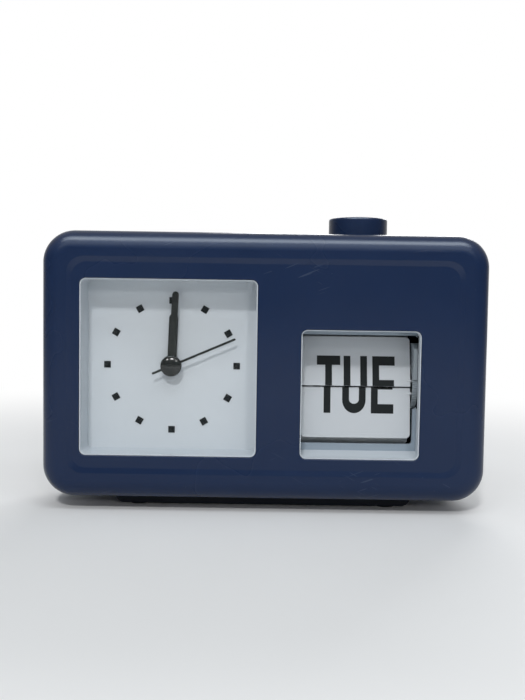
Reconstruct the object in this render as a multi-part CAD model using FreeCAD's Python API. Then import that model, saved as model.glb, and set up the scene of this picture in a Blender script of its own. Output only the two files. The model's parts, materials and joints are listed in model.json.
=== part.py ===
"""Desk clock with a flip calendar: quartz dial on the left, day cards on the right, push button on top.

Units are millimetres. +Z is up, the face looks towards -Y and +X is to the right of someone reading it.
The origin is under the middle of the clock, on the surface that it stands on.
"""
import FreeCAD, Part
import math
import os

V = FreeCAD.Vector

# ---- Driving dimensions -------------------------------------------------------------------------
# case
CASE_WIDTH = 180.0
CASE_HEIGHT = 108.0
CASE_DEPTH = 50.0
CASE_CORNER = 13.0
FOOT_DROP = 5.5            # the case's underside above the table
FRONT_ROUND = 7.2
REAR_ROUND = 5.0
BEZEL_DEPTH = 10.5         # depth of the front frame, up to the parting line
HOUSING_INSET = 0.8        # the housing stands in from the frame's outline
WALL = 2.6
KNOB_STAND = 4.0           # the setting knob stands proud of the back
FACE_MARGIN = 10.5         # outline to the edge of the sunk face
FACE_SLOPE = 2.2
FACE_SINK = 0.4
FACE_CORNER = 7.0
FACE_BACK = 3.6            # depth of the back of the face plate
# windows, placed from the middle of the case front
DIAL_X = -38.7
DIAL_Z = -0.7
DIAL_WINDOW = 71.1
DAY_X = 38.5
DAY_Z = -10.6
DAY_WINDOW_WIDTH = 48.0
DAY_WINDOW_HEIGHT = 52.0
WINDOW_CORNER = 2.5
WINDOW_EDGE = 0.35         # rounding of the face's edge round each window
LIP = 0.4                  # white lip that lines each window
LIP_FRONT = 0.95
# dial and hands
DIAL_DEPTH = 16.4
DIAL_THICK = 1.0
MARKER = 2.75
MARKER_RADIUS = 27.0
MARKER_THICK = 0.2
HOUR_COUNT = 12
HUB_RADIUS = 4.35
HOUR_LENGTH = 21.6
HOUR_HAND_WIDTH = 3.7
MINUTE_LENGTH = 30.8
MINUTE_HAND_WIDTH = 2.7
SECOND_LENGTH = 28.9
SECOND_TAIL = 8.1
SECOND_HAND_WIDTH = 0.95
HOUR_ANGLE = 2.0           # clockwise from twelve
MINUTE_ANGLE = 3.0
SECOND_ANGLE = 66.6
HOUR_HAND_DEPTH = 14.3
HOUR_HAND_THICK = 0.6
MINUTE_HAND_DEPTH = 12.9
MINUTE_HAND_THICK = 0.5
SECOND_HAND_DEPTH = 11.9
SECOND_HAND_THICK = 0.3
CAP_DEPTH = 10.6
# movement
MOVEMENT_SIZE = 52.0
MOVEMENT_DEPTH = 13.0
MOVEMENT_WALL = 1.5
WHEEL_MODULE = 0.4
CANNON_TEETH = 12
MOTION_TEETH = 36
HOUR_PINION_TEETH = 12
HOUR_WHEEL_TEETH = 48
DRIVE_MODULE = 0.22
SECONDS_TEETH = 60
REDUCTION_PINION_TEETH = 10
REDUCTION_TEETH = 40
ROTOR_TEETH = 8
HOUR_TUBE_RADIUS = 3.0
HOUR_SEAT_RADIUS = 2.5
MINUTE_TUBE_RADIUS = 1.65
SECONDS_ARBOR_RADIUS = 0.8
PIVOT_RADIUS = 0.6
SETTING_STEM_RADIUS = 1.8
FIT = 0.05                 # radial running clearance
# screws
SCREW_HEAD = 2.8
SCREW_SHANK = 1.28
SCREW_HOLE = 1.3
SMALL_HEAD = 1.9
SMALL_SHANK = 0.93
SMALL_HOLE = 0.95
SMALL_CLEARANCE = 1.1
# day cards
DAY_COUNT = 7
CARD_LEFT = 15.3
CARD_WIDTH = 45.0
CARD_LENGTH = 20.8
CARD_ROOT = 2.35           # root edge to hinge pin
CARD_THICK = 0.8
CARD_CORNER = 1.8
CARD_PIN_RADIUS = 0.6
SEAM_Z = -8.2              # spool axis, from the middle of the case front
SPOOL_DEPTH = 18.0
PIN_CIRCLE = 6.0
# angle of each card from the front, over the top, for the card stations from the top one round the back
CARD_ANGLES = (104.0, 108.0, 150.0, 215.0, 245.0, 268.0, 276.0)
DISC_RADIUS = 9.3
DISC_THICK = 2.1
DISC_GAP = 0.3
AXLE_RADIUS = 2.0
RATCHET_RADIUS = 5.76
RATCHET_ROOT = 3.6
# button
BUTTON_X = 38.8
BUTTON_DEPTH = 26.0
BUTTON_RADIUS = 12.3
BUTTON_RISE = 7.8
STEM_RADIUS = 3.0
# battery and its door
BATTERY_RADIUS = 7.1
BATTERY_LENGTH = 49.5
BATTERY_DROP = 21.0        # below the dial's axis
DOOR_THICK = 1.8
DOOR_CORNER = 0.6
DOOR_PIN_RADIUS = 0.7
KNUCKLE_RADIUS = 0.9
# foot
FOOT_WIDTH = 124.0
FOOT_FRONT = 15.0
FOOT_BACK = 45.0
PAD_THICK = 1.0

# ---- Worked out from the driving dimensions -----------------------------------------------------
FRONT_Y = -(CASE_DEPTH + KNOB_STAND) / 2
CENTRE_Z = FOOT_DROP + CASE_HEIGHT / 2
CASE_TOP = FOOT_DROP + CASE_HEIGHT
DIAL_AXIS_Z = CENTRE_Z + DIAL_Z
SPOOL_Y = FRONT_Y + SPOOL_DEPTH
SPOOL_Z = CENTRE_Z + SEAM_Z
DAY_STEP = 360.0 / DAY_COUNT
CARD_RIGHT = CARD_LEFT + CARD_WIDTH
MOTION_OFFSET = WHEEL_MODULE * (CANNON_TEETH + MOTION_TEETH) / 2
HOUR_MODULE = 2 * MOTION_OFFSET / (HOUR_PINION_TEETH + HOUR_WHEEL_TEETH)
REDUCTION_OFFSET = DRIVE_MODULE * (SECONDS_TEETH + REDUCTION_PINION_TEETH) / 2
ROTOR_OFFSET = DRIVE_MODULE * (REDUCTION_TEETH + ROTOR_TEETH) / 2
MOVEMENT_FRONT = DIAL_DEPTH + DIAL_THICK
MOVEMENT_SPLIT = MOVEMENT_FRONT + 5.0
MOVEMENT_BACK = MOVEMENT_FRONT + MOVEMENT_DEPTH
MOTION_Z = DIAL_AXIS_Z + MOTION_OFFSET
REDUCTION_X = DIAL_X - REDUCTION_OFFSET
ROTOR_Z = DIAL_AXIS_Z - ROTOR_OFFSET
HOUSING_BACK = CASE_DEPTH
HOUSING_INNER_BACK = CASE_DEPTH - WALL
BATTERY_Z = DIAL_AXIS_Z - BATTERY_DROP
BATTERY_POCKET_FLOOR = 32.8
BATTERY_Y = FRONT_Y + BATTERY_POCKET_FLOOR + BATTERY_RADIUS + 0.2
POCKET_HALF = BATTERY_LENGTH / 2 + 3.5
POCKET_RISE = BATTERY_RADIUS + 0.7
DOOR_HALF = BATTERY_LENGTH / 2 + 4.6
DOOR_RISE = BATTERY_RADIUS + 2.0
DOOR_PIN_Y = FRONT_Y + CASE_DEPTH - KNUCKLE_RADIUS
DOOR_PIN_Z = BATTERY_Z - DOOR_RISE + KNUCKLE_RADIUS
WHEELS_FRONT = MOVEMENT_FRONT + MOVEMENT_WALL
BUTTON_Y = FRONT_Y + BUTTON_DEPTH
FOOT_SCREW_X = FOOT_WIDTH / 3
FOOT_SCREW_Y = FRONT_Y + (FOOT_FRONT + FOOT_BACK) / 2
WELL_LEFT = CARD_LEFT - DISC_GAP - DISC_THICK - 0.7
WELL_BACK = 14.5
WELL_PLATE = 13.0
WELL_SIDE = 6.6
RATCHET_X = 65.4
CHEEK_LEFT = 9.0
CHEEK_RIGHT = 68.0
CHEEK_THICK = 2.0
CRADLE_FLOOR = CENTRE_Z - 36.7
BRIDGE_Z = 88.0
SHELF_BACK = 31.0
SPOOL_OPENING_LOW = CENTRE_Z - 17.2
SPOOL_OPENING_HIGH = CENTRE_Z + 13.2
GUIDE_GAP = 0.7            # card edge to its side guide
GUIDE_THICK = 1.6
GUIDE_FRONT = SPOOL_DEPTH - DISC_RADIUS + 0.2
GUIDE_BACK = 18.2
GUIDE_TOP = 69.5
GUIDE_PEG_DEPTH = 17.0
GUIDE_PEG_Z = 66.0
GUIDE_PEG_RADIUS = 0.8


# ---- Shape helpers ------------------------------------------------------------------------------
def y_at(depth):
    """Y of a plane that lies this far behind the front of the case."""
    return FRONT_Y + depth


def block(x0, x1, depth0, depth1, z0, z1):
    """A box between two depths behind the front."""
    return Part.makeBox(x1 - x0, depth1 - depth0, z1 - z0, V(x0, y_at(depth0), z0))


def rod_y(x, z, radius, depth0, depth1):
    """A cylinder that runs front to back."""
    return Part.makeCylinder(radius, depth1 - depth0, V(x, y_at(depth0), z), V(0, 1, 0))


def rod_x(y, z, radius, x0, x1):
    """A cylinder that runs from left to right."""
    return Part.makeCylinder(radius, x1 - x0, V(x0, y, z), V(1, 0, 0))


def rod_z(x, y, radius, z0, z1):
    """A cylinder that stands upright."""
    return Part.makeCylinder(radius, z1 - z0, V(x, y, z0), V(0, 0, 1))


def edges_along(shape, axis):
    """The straight edges of a shape that run along one axis."""
    found = []
    for edge in shape.Edges:
        if len(edge.Vertexes) < 2:
            continue
        run = edge.Vertexes[1].Point - edge.Vertexes[0].Point
        if run.Length > 0.01 and abs(abs(run.normalize().dot(axis)) - 1) < 1e-6:
            found.append(edge)
    return found


def edges_at_depth(shape, depth):
    """The edges of a shape that lie wholly at one depth."""
    y = y_at(depth)
    return [e for e in shape.Edges if all(abs(v.Point.y - y) < 1e-4 for v in e.Vertexes)]


def rounded_block(x0, x1, depth0, depth1, z0, z1, radius):
    """A box whose four edges from front to back are rounded."""
    solid = block(x0, x1, depth0, depth1, z0, z1)
    return solid.makeFillet(radius, edges_along(solid, V(0, 1, 0)))


def case_block(inset, depth0, depth1):
    """A block of the case's rounded outline, this far inside it."""
    return rounded_block(
        inset - CASE_WIDTH / 2,
        CASE_WIDTH / 2 - inset,
        depth0,
        depth1,
        FOOT_DROP + inset,
        CASE_TOP - inset,
        max(CASE_CORNER - inset, 1.5),
    )


def window_block(x, z, width, height, depth0, depth1, grow=0.0):
    """A block of a window's rounded outline, made larger or smaller by grow."""
    return rounded_block(
        x - width / 2 - grow,
        x + width / 2 + grow,
        depth0,
        depth1,
        CENTRE_Z + z - height / 2 - grow,
        CENTRE_Z + z + height / 2 + grow,
        max(WINDOW_CORNER + grow, 0.5),
    )


def dial_window(depth0, depth1, grow=0.0):
    """A block of the dial window's outline."""
    return window_block(DIAL_X, DIAL_Z, DIAL_WINDOW, DIAL_WINDOW, depth0, depth1, grow)


def day_window(depth0, depth1, grow=0.0):
    """A block of the day window's outline."""
    return window_block(DAY_X, DAY_Z, DAY_WINDOW_WIDTH, DAY_WINDOW_HEIGHT, depth0, depth1, grow)


def prism_y(points, depth0, depth1):
    """A closed outline of (x, z) points drawn out from front to back."""
    corners = [V(x, y_at(depth0), z) for x, z in points]
    face = Part.Face(Part.makePolygon(corners + corners[:1]))
    return face.extrude(V(0, depth1 - depth0, 0))


def prism_x(points, x0, x1):
    """A closed outline of (y, z) points drawn out from left to right."""
    corners = [V(x0, y, z) for y, z in points]
    face = Part.Face(Part.makePolygon(corners + corners[:1]))
    return face.extrude(V(x1 - x0, 0, 0))


def polar(x, z, radius, degrees):
    """The point at this radius and angle round (x, z), anticlockwise from +X as seen from the front."""
    a = math.radians(degrees)
    return x + radius * math.cos(a), z + radius * math.sin(a)


def gear(x, z, teeth, module, depth0, depth1, first_tooth):
    """A toothed disc with straight flanks; first_tooth is the angle of the middle of a tooth."""
    pitch = module * teeth / 2
    step = 360.0 / teeth
    tip = pitch + 0.80 * module
    root = pitch - 1.15 * module
    points = []
    for tooth in range(teeth):
        middle = first_tooth + tooth * step
        points.append(polar(x, z, root, middle - 0.30 * step))
        points.append(polar(x, z, tip, middle - 0.10 * step))
        points.append(polar(x, z, tip, middle + 0.10 * step))
        points.append(polar(x, z, root, middle + 0.30 * step))
    return prism_y(points, depth0, depth1)


def screw_y(x, z, head_depth, tip_depth, head_radius, shank_radius):
    """A pan-head screw driven forwards from the back, with a cross recess."""
    head = rod_y(x, z, head_radius, head_depth - 1.6, head_depth)
    shank = rod_y(x, z, shank_radius, tip_depth, head_depth - 1.6)
    slot = head_radius * 0.62
    cross = block(x - slot, x + slot, head_depth - 0.9, head_depth + 1, z - 0.4, z + 0.4)
    cross = cross.fuse(block(x - 0.4, x + 0.4, head_depth - 0.9, head_depth + 1, z - slot, z + slot))
    return head.fuse(shank).cut(cross)


def save(name, *solids):
    """Writes one sub-part, as one solid or a group of separate solids."""
    shape = solids[0] if len(solids) == 1 else Part.makeCompound(list(solids))
    if len(shape.Solids) == 1:
        shape = shape.Solids[0]
    shape = shape.removeSplitter() if len(shape.Solids) == 1 else shape
    shape.exportStep(os.path.join("parts", name + ".step"))


# ---- Case ---------------------------------------------------------------------------------------
def case_screw_places():
    """Where the four screws that close the case stand."""
    return [(sx * 80.5, CENTRE_Z + sz * 44.5) for sx in (-1, 1) for sz in (-1, 1)]


def front_bezel():
    """The front frame: rounded rim, sunk face, two windows and four screw posts."""
    body = case_block(0, 0, BEZEL_DEPTH)
    body = body.makeFillet(FRONT_ROUND, edges_at_depth(body, 0))
    cavity = case_block(WALL, FACE_BACK, BEZEL_DEPTH + 1)
    body = body.cut(cavity.makeFillet(3.0, edges_at_depth(cavity, FACE_BACK)))
    half_w = CASE_WIDTH / 2
    rims = []
    for inset, corner, depth in ((0.0, FACE_CORNER, 0.0), (FACE_SLOPE, FACE_CORNER - 1.2, FACE_SINK)):
        m = FACE_MARGIN + inset
        plate = rounded_block(m - half_w, half_w - m, depth, depth + 1, FOOT_DROP + m, CASE_TOP - m, corner)
        front = [f for f in plate.Faces if abs(f.CenterOfMass.y - y_at(depth)) < 1e-6][0]
        rims.append(front.OuterWire)
    body = body.cut(Part.makeLoft(rims, True))
    body = body.cut(dial_window(-1, FACE_BACK + 1)).cut(day_window(-1, FACE_BACK + 1))
    body = body.makeFillet(WINDOW_EDGE, window_edges(body))
    for x, z in case_screw_places():
        body = body.fuse(rod_y(x, z, 3.6, FACE_BACK - 0.6, BEZEL_DEPTH))
        body = body.cut(rod_y(x, z, SCREW_HOLE, FACE_BACK + 0.8, BEZEL_DEPTH + 1))
    save("front_bezel", body)


def window_edges(face_plate):
    """The edges of the sunk face round the two windows."""
    reach = CASE_WIDTH / 2 - FACE_MARGIN - FACE_SLOPE - 0.5
    edges = edges_at_depth(face_plate, FACE_SINK)
    return [e for e in edges if all(abs(v.Point.x) < reach and v.Point.z > FOOT_DROP + FACE_MARGIN + 3
                                    and v.Point.z < CASE_TOP - FACE_MARGIN - 3 for v in e.Vertexes)]


def rear_housing():
    """The back shell: screw wells, battery pocket, knob and button holes, plain back."""
    body = case_block(HOUSING_INSET, BEZEL_DEPTH, HOUSING_BACK)
    body = body.makeFillet(REAR_ROUND, edges_at_depth(body, HOUSING_BACK))
    inner = case_block(HOUSING_INSET + WALL, BEZEL_DEPTH - 1, HOUSING_INNER_BACK)
    body = body.cut(inner.makeFillet(3.0, edges_at_depth(inner, HOUSING_INNER_BACK)))
    lip = case_block(WALL + 0.15, BEZEL_DEPTH - 2.5, BEZEL_DEPTH + 1.5)
    body = body.fuse(lip.cut(case_block(WALL + 1.6, BEZEL_DEPTH - 3, BEZEL_DEPTH + 3)))
    for x, z in case_screw_places():
        well = rod_y(x, z, 4.4, BEZEL_DEPTH, HOUSING_INNER_BACK + 0.5)
        # the post of the front frame passes inside the lip's corner
        body = body.cut(rod_y(x, z, 3.8, BEZEL_DEPTH - 3, BEZEL_DEPTH))
        body = body.fuse(well)
        body = body.cut(rod_y(x, z, 1.5, BEZEL_DEPTH - 3, BEZEL_DEPTH + 3))
        body = body.cut(rod_y(x, z, 3.1, BEZEL_DEPTH + 2.4, HOUSING_BACK + 1))
    # battery pocket, open to the back
    half, rise = POCKET_HALF, POCKET_RISE
    pocket = block(
        DIAL_X - half - 1.5, DIAL_X + half + 1.5, BATTERY_POCKET_FLOOR - 1.5, HOUSING_INNER_BACK + 0.5,
        BATTERY_Z - rise - 1.5, BATTERY_Z + rise + 1.5,
    )
    body = body.fuse(pocket)
    body = body.cut(
        block(DIAL_X - half, DIAL_X + half, BATTERY_POCKET_FLOOR, HOUSING_BACK + 1,
              BATTERY_Z - rise, BATTERY_Z + rise)
    )
    body = body.cut(battery_door_blank(0.25, HOUSING_BACK - DOOR_THICK - 0.2, HOUSING_BACK + 1))
    reach = half + 3.2
    body = body.cut(rod_x(DOOR_PIN_Y, DOOR_PIN_Z, DOOR_PIN_RADIUS + FIT, DIAL_X - reach, DIAL_X + reach))
    thumb_notch = rod_y(DIAL_X, BATTERY_Z + rise + 2.6, 5.0, HOUSING_BACK - 0.9, HOUSING_BACK + 1)
    body = body.cut(thumb_notch)
    # hole for the knob's stem and for the button
    body = body.cut(rod_y(DIAL_X, MOTION_Z, 3.0, HOUSING_INNER_BACK - 1, HOUSING_BACK + 1))
    body = body.cut(rod_z(BUTTON_X, BUTTON_Y, BUTTON_RADIUS + 0.3, CASE_TOP - 8, CASE_TOP + 1))
    # contact slots through the pocket floor
    for side in (-1, 1):
        x = DIAL_X + side * (half - 1.2)
        body = body.cut(block(x - 0.4, x + 0.4, BATTERY_POCKET_FLOOR - 2, BATTERY_POCKET_FLOOR + 1,
                              BATTERY_Z - 2.2, BATTERY_Z + 2.2))
    # holes for the two foot screws
    for side in (-1, 1):
        body = body.cut(rod_z(side * FOOT_SCREW_X, FOOT_SCREW_Y, SCREW_HOLE, FOOT_DROP, FOOT_DROP + 6))
    save("rear_housing", body)


def battery_door_blank(grow, depth0, depth1):
    """The door's outline in the back of the housing."""
    half = DOOR_HALF + grow
    rise = DOOR_RISE + grow
    return rounded_block(DIAL_X - half, DIAL_X + half, depth0, depth1,
                         BATTERY_Z - rise, BATTERY_Z + rise, DOOR_CORNER)


def battery_door():
    """The hinged battery cover, with a ribbed thumb grip along its free edge."""
    body = battery_door_blank(0, HOUSING_BACK - DOOR_THICK, HOUSING_BACK)
    left, right = DIAL_X - DOOR_HALF, DIAL_X + DOOR_HALF
    # the hinge edge is round about the pin
    body = body.cut(block(left - 1, right + 1, HOUSING_BACK - 3, HOUSING_BACK + 1,
                          DOOR_PIN_Z - 2, DOOR_PIN_Z))
    body = body.fuse(rod_x(DOOR_PIN_Y, DOOR_PIN_Z, KNUCKLE_RADIUS, left + 0.6, right - 0.6))
    body = body.fuse(rod_x(DOOR_PIN_Y, DOOR_PIN_Z, DOOR_PIN_RADIUS, left - 1.4, right + 1.4))
    top = BATTERY_Z + DOOR_RISE
    for rib in range(4):
        z = top - 2.2 - 1.5 * rib
        body = body.cut(block(DIAL_X - 7, DIAL_X + 7, HOUSING_BACK - 0.5, HOUSING_BACK + 1,
                              z - 0.35, z + 0.35))
    save("battery_door", body)


def battery():
    """A single cell with its positive tip, lying across the pocket."""
    left = DIAL_X - BATTERY_LENGTH / 2 + 0.4
    body = rod_x(BATTERY_Y, BATTERY_Z, BATTERY_RADIUS, left, left + BATTERY_LENGTH - 1.2)
    body = body.fuse(rod_x(BATTERY_Y, BATTERY_Z, 2.7, left, left + BATTERY_LENGTH))
    save("battery", body)


def battery_contacts():
    """A bent plate at the positive end and a plate with a cone at the negative end."""
    base = BATTERY_POCKET_FLOOR + 0.3
    tip = BATTERY_POCKET_FLOOR + 12
    for name, side in (("negative_contact", -1), ("positive_contact", 1)):
        x = DIAL_X + side * (POCKET_HALF - 1.2)
        plate = block(x - 0.2, x + 0.2, MOVEMENT_BACK + 0.4, tip, BATTERY_Z - 2, BATTERY_Z + 2)
        plate = plate.fuse(block(x - 0.2, x + 0.2, base, tip, BATTERY_Z - 5, BATTERY_Z + 5))
        if side < 0:
            reach = DIAL_X - BATTERY_LENGTH / 2 + 0.4 - x - 0.1
            plate = plate.fuse(Part.makeCone(4.2, 2.2, reach, V(x, BATTERY_Y, BATTERY_Z), V(1, 0, 0)))
        else:
            reach = x - (DIAL_X + BATTERY_LENGTH / 2 + 0.4)
            start = V(x - reach + 0.1, BATTERY_Y, BATTERY_Z)
            plate = plate.fuse(Part.makeCone(2.0, 2.6, reach - 0.1, start, V(1, 0, 0)))
        save(name, plate)


def case_screws():
    """Four screws that hold the housing to the front frame."""
    save("case_screws", *[screw_y(x, z, BEZEL_DEPTH + 4.1, FACE_BACK + 1.4, SCREW_HEAD, SCREW_SHANK)
                          for x, z in case_screw_places()])


def base_foot():
    """The low plinth under the case, rounded up at its ends."""
    half = FOOT_WIDTH / 2
    body = block(-half, half, FOOT_FRONT, FOOT_BACK, PAD_THICK, FOOT_DROP + HOUSING_INSET)
    low = [e for e in edges_along(body, V(0, 1, 0)) if e.Vertexes[0].Point.z < PAD_THICK + 0.1]
    body = body.makeFillet(4.0, low)
    for side in (-1, 1):
        x = side * FOOT_SCREW_X
        body = body.cut(rod_z(x, FOOT_SCREW_Y, 1.5, 0, 10))
        body = body.cut(rod_z(x, FOOT_SCREW_Y, 3.0, 0, 3.0))
    for x, depth in pad_places():
        body = body.cut(rod_z(x, y_at(depth), 4.1, 0, PAD_THICK + 0.8))
    save("base_foot", body)


def pad_places():
    """Where the four rubber pads sit, as (x, depth)."""
    depths = (FOOT_FRONT + 5.5, FOOT_BACK - 5.5)
    return [(side * (FOOT_WIDTH / 2 - 10), depth) for side in (-1, 1) for depth in depths]


def rubber_pads():
    """Four round pads let into the plinth."""
    save("rubber_pads", *[rod_z(x, y_at(depth), 4.0, 0, PAD_THICK + 0.8) for x, depth in pad_places()])


def foot_screws():
    """Two screws that hold the plinth to the housing."""
    solids = []
    for side in (-1, 1):
        x = side * FOOT_SCREW_X
        head = rod_z(x, FOOT_SCREW_Y, 2.7, 1.6, 3.0)
        slot = Part.makeBox(3.6, 0.8, 1.2, V(x - 1.8, FOOT_SCREW_Y - 0.4, 1.0))
        solids.append(head.fuse(rod_z(x, FOOT_SCREW_Y, SCREW_SHANK, 3.0, FOOT_DROP + 5)).cut(slot))
    save("foot_screws", *solids)


def inner_frame():
    """The white inner moulding: window lips, dial well, day well and the shelf for the card cradle."""
    lip_front, sheet = FACE_BACK, FACE_BACK + 1.6
    half_w = CASE_WIDTH / 2 - WALL - 3.3
    plate = rounded_block(-half_w, half_w, lip_front, sheet, FOOT_DROP + WALL + 4, CASE_TOP - WALL - 4, 6.0)
    for x, z in case_screw_places():
        plate = plate.cut(rod_y(x, z, 5.5, lip_front - 1, sheet + 1))
    body = plate
    body = body.fuse(dial_window(LIP_FRONT, sheet, -0.05))
    body = body.fuse(day_window(LIP_FRONT, sheet, -0.05))
    # dial well
    body = body.fuse(dial_window(lip_front, DIAL_DEPTH, 1.2))
    body = body.cut(dial_window(0, DIAL_DEPTH + 1, -LIP))
    # day well
    left, right = WELL_LEFT, DAY_X + DAY_WINDOW_WIDTH / 2 + 0.6
    low = CENTRE_Z + DAY_Z - DAY_WINDOW_HEIGHT / 2 + LIP
    high = CENTRE_Z + DAY_Z + DAY_WINDOW_HEIGHT / 2 - LIP
    shell = block(left - 1.4, right + 1.4, sheet - 0.5, WELL_BACK, low - 1.6, high + 1.4)
    body = body.fuse(shell)
    # the floor rises towards the back
    room = prism_x(
        [(y_at(sheet), low), (y_at(WELL_PLATE), low + 1.4), (y_at(WELL_PLATE), high), (y_at(sheet), high)],
        left, right,
    )
    body = body.cut(room).cut(day_window(0, sheet + 0.01, -LIP))
    # the cards pass through an opening that is wider at the spool's discs
    wide = rounded_block(left, right, WELL_PLATE - 1, WELL_BACK + 1,
                         SPOOL_OPENING_LOW, SPOOL_OPENING_HIGH, 1.2)
    narrow = rounded_block(left, CARD_RIGHT + 1.2, WELL_PLATE - 1, WELL_BACK + 1,
                           CENTRE_Z - 31.9, CENTRE_Z - 10, 1.2)
    body = body.cut(wide.fuse(narrow))
    # the right wall stops short of the spool's disc
    body = body.cut(block(right - 0.1, right + 2, WELL_SIDE, WELL_BACK + 1,
                          SPOOL_OPENING_LOW, SPOOL_OPENING_HIGH))
    # shelf that carries the card cradle, with two ribs under it
    shelf_low = CRADLE_FLOOR - 1.6
    body = body.fuse(block(CHEEK_LEFT - 1, CHEEK_RIGHT + CHEEK_THICK + 1, WELL_BACK - 1, SHELF_BACK,
                           shelf_low, CRADLE_FLOOR))
    for x in (20.0, 56.0):
        body = body.fuse(block(x - 0.8, x + 0.8, sheet - 0.2, SHELF_BACK - 2, shelf_low - 5, shelf_low + 0.5))
    for x in cradle_screw_xs():
        body = body.cut(rod_z(x, y_at(SHELF_BACK - 6), SCREW_HOLE, shelf_low - 1, CRADLE_FLOOR + 1))
    # posts for the dial plate's screws
    for x, z in dial_screw_places():
        body = body.fuse(rod_y(x, z, 2.6, sheet - 0.2, DIAL_DEPTH))
        body = body.cut(rod_y(x, z, SMALL_HOLE, DIAL_DEPTH - 6, DIAL_DEPTH + 1))
    save("inner_frame", body)


def dial_screw_places():
    """Two screws on a diagonal hold the dial plate's ears to the inner frame."""
    reach = DIAL_WINDOW / 2 + 3.6
    return [(DIAL_X + side * reach, DIAL_AXIS_Z - side * 24.0) for side in (-1, 1)]


def cradle_screw_xs():
    """The cradle's two screws stand near its cheeks."""
    return (CHEEK_LEFT + 8, CHEEK_RIGHT - 8)


# ---- Dial and hands -----------------------------------------------------------------------------
def dial_lens():
    """The clear pane in the dial window."""
    save("dial_lens", dial_window(2.3, 3.5, -LIP - 0.02))


def dial_plate():
    """The white dial, with an ear at each side for its screw."""
    body = dial_window(DIAL_DEPTH, DIAL_DEPTH + DIAL_THICK, 1.2)
    for x, z in dial_screw_places():
        side = -1 if x < DIAL_X else 1
        ear = block(min(x, x - side * 6), max(x, x - side * 6), DIAL_DEPTH, DIAL_DEPTH + DIAL_THICK,
                    z - 2.8, z + 2.8)
        body = body.fuse(ear).fuse(rod_y(x, z, 2.8, DIAL_DEPTH, DIAL_DEPTH + DIAL_THICK))
        body = body.cut(rod_y(x, z, SMALL_CLEARANCE, DIAL_DEPTH - 1, DIAL_DEPTH + DIAL_THICK + 1))
    body = body.cut(rod_y(DIAL_X, DIAL_AXIS_Z, 3.9, DIAL_DEPTH - 1, DIAL_DEPTH + DIAL_THICK + 1))
    save("dial_plate", body)


def hour_markers():
    """Twelve small squares, each turned to face the middle of the dial."""
    solids = []
    for hour in range(HOUR_COUNT):
        half = MARKER / 2
        mark = block(-half, half, DIAL_DEPTH - MARKER_THICK, DIAL_DEPTH,
                     MARKER_RADIUS - half, MARKER_RADIUS + half)
        mark.rotate(V(0, 0, 0), V(0, 1, 0), hour * 360.0 / HOUR_COUNT)
        mark.translate(V(DIAL_X, 0, DIAL_AXIS_Z))
        solids.append(mark)
    save("hour_markers", *solids)


def hand(length, tail, width, depth0, thick, eye, bore, angle):
    """A straight hand with a round eye, pointing up and then turned clockwise by angle."""
    depth1 = depth0 + thick
    body = block(-width / 2, width / 2, depth0, depth1, -tail, length - width / 2)
    body = body.fuse(rod_y(0, length - width / 2, width / 2, depth0, depth1))
    if tail > 0:
        body = body.fuse(rod_y(0, -tail, width / 2, depth0, depth1))
    body = body.fuse(rod_y(0, 0, eye, depth0, depth1))
    if bore > 0:
        body = body.cut(rod_y(0, 0, bore, depth0 - 1, depth1 + 1))
    body.rotate(V(0, 0, 0), V(0, 1, 0), angle)
    body.translate(V(DIAL_X, 0, DIAL_AXIS_Z))
    return body


def hands():
    """Hour, minute and second hand, and the cap on the second hand."""
    save("hour_hand", hand(HOUR_LENGTH, 0, HOUR_HAND_WIDTH, HOUR_HAND_DEPTH, HOUR_HAND_THICK,
                           HUB_RADIUS - 0.2, HOUR_SEAT_RADIUS, HOUR_ANGLE))
    save("minute_hand", hand(MINUTE_LENGTH, 0, MINUTE_HAND_WIDTH, MINUTE_HAND_DEPTH, MINUTE_HAND_THICK,
                             HUB_RADIUS - 0.5, MINUTE_TUBE_RADIUS, MINUTE_ANGLE))
    save("second_hand", hand(SECOND_LENGTH, SECOND_TAIL, SECOND_HAND_WIDTH, SECOND_HAND_DEPTH,
                             SECOND_HAND_THICK, 2.0, 0, SECOND_ANGLE))
    cap = rod_y(DIAL_X, DIAL_AXIS_Z, HUB_RADIUS, CAP_DEPTH, SECOND_HAND_DEPTH)
    save("hand_cap", cap.makeFillet(0.6, edges_at_depth(cap, CAP_DEPTH)))


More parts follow.
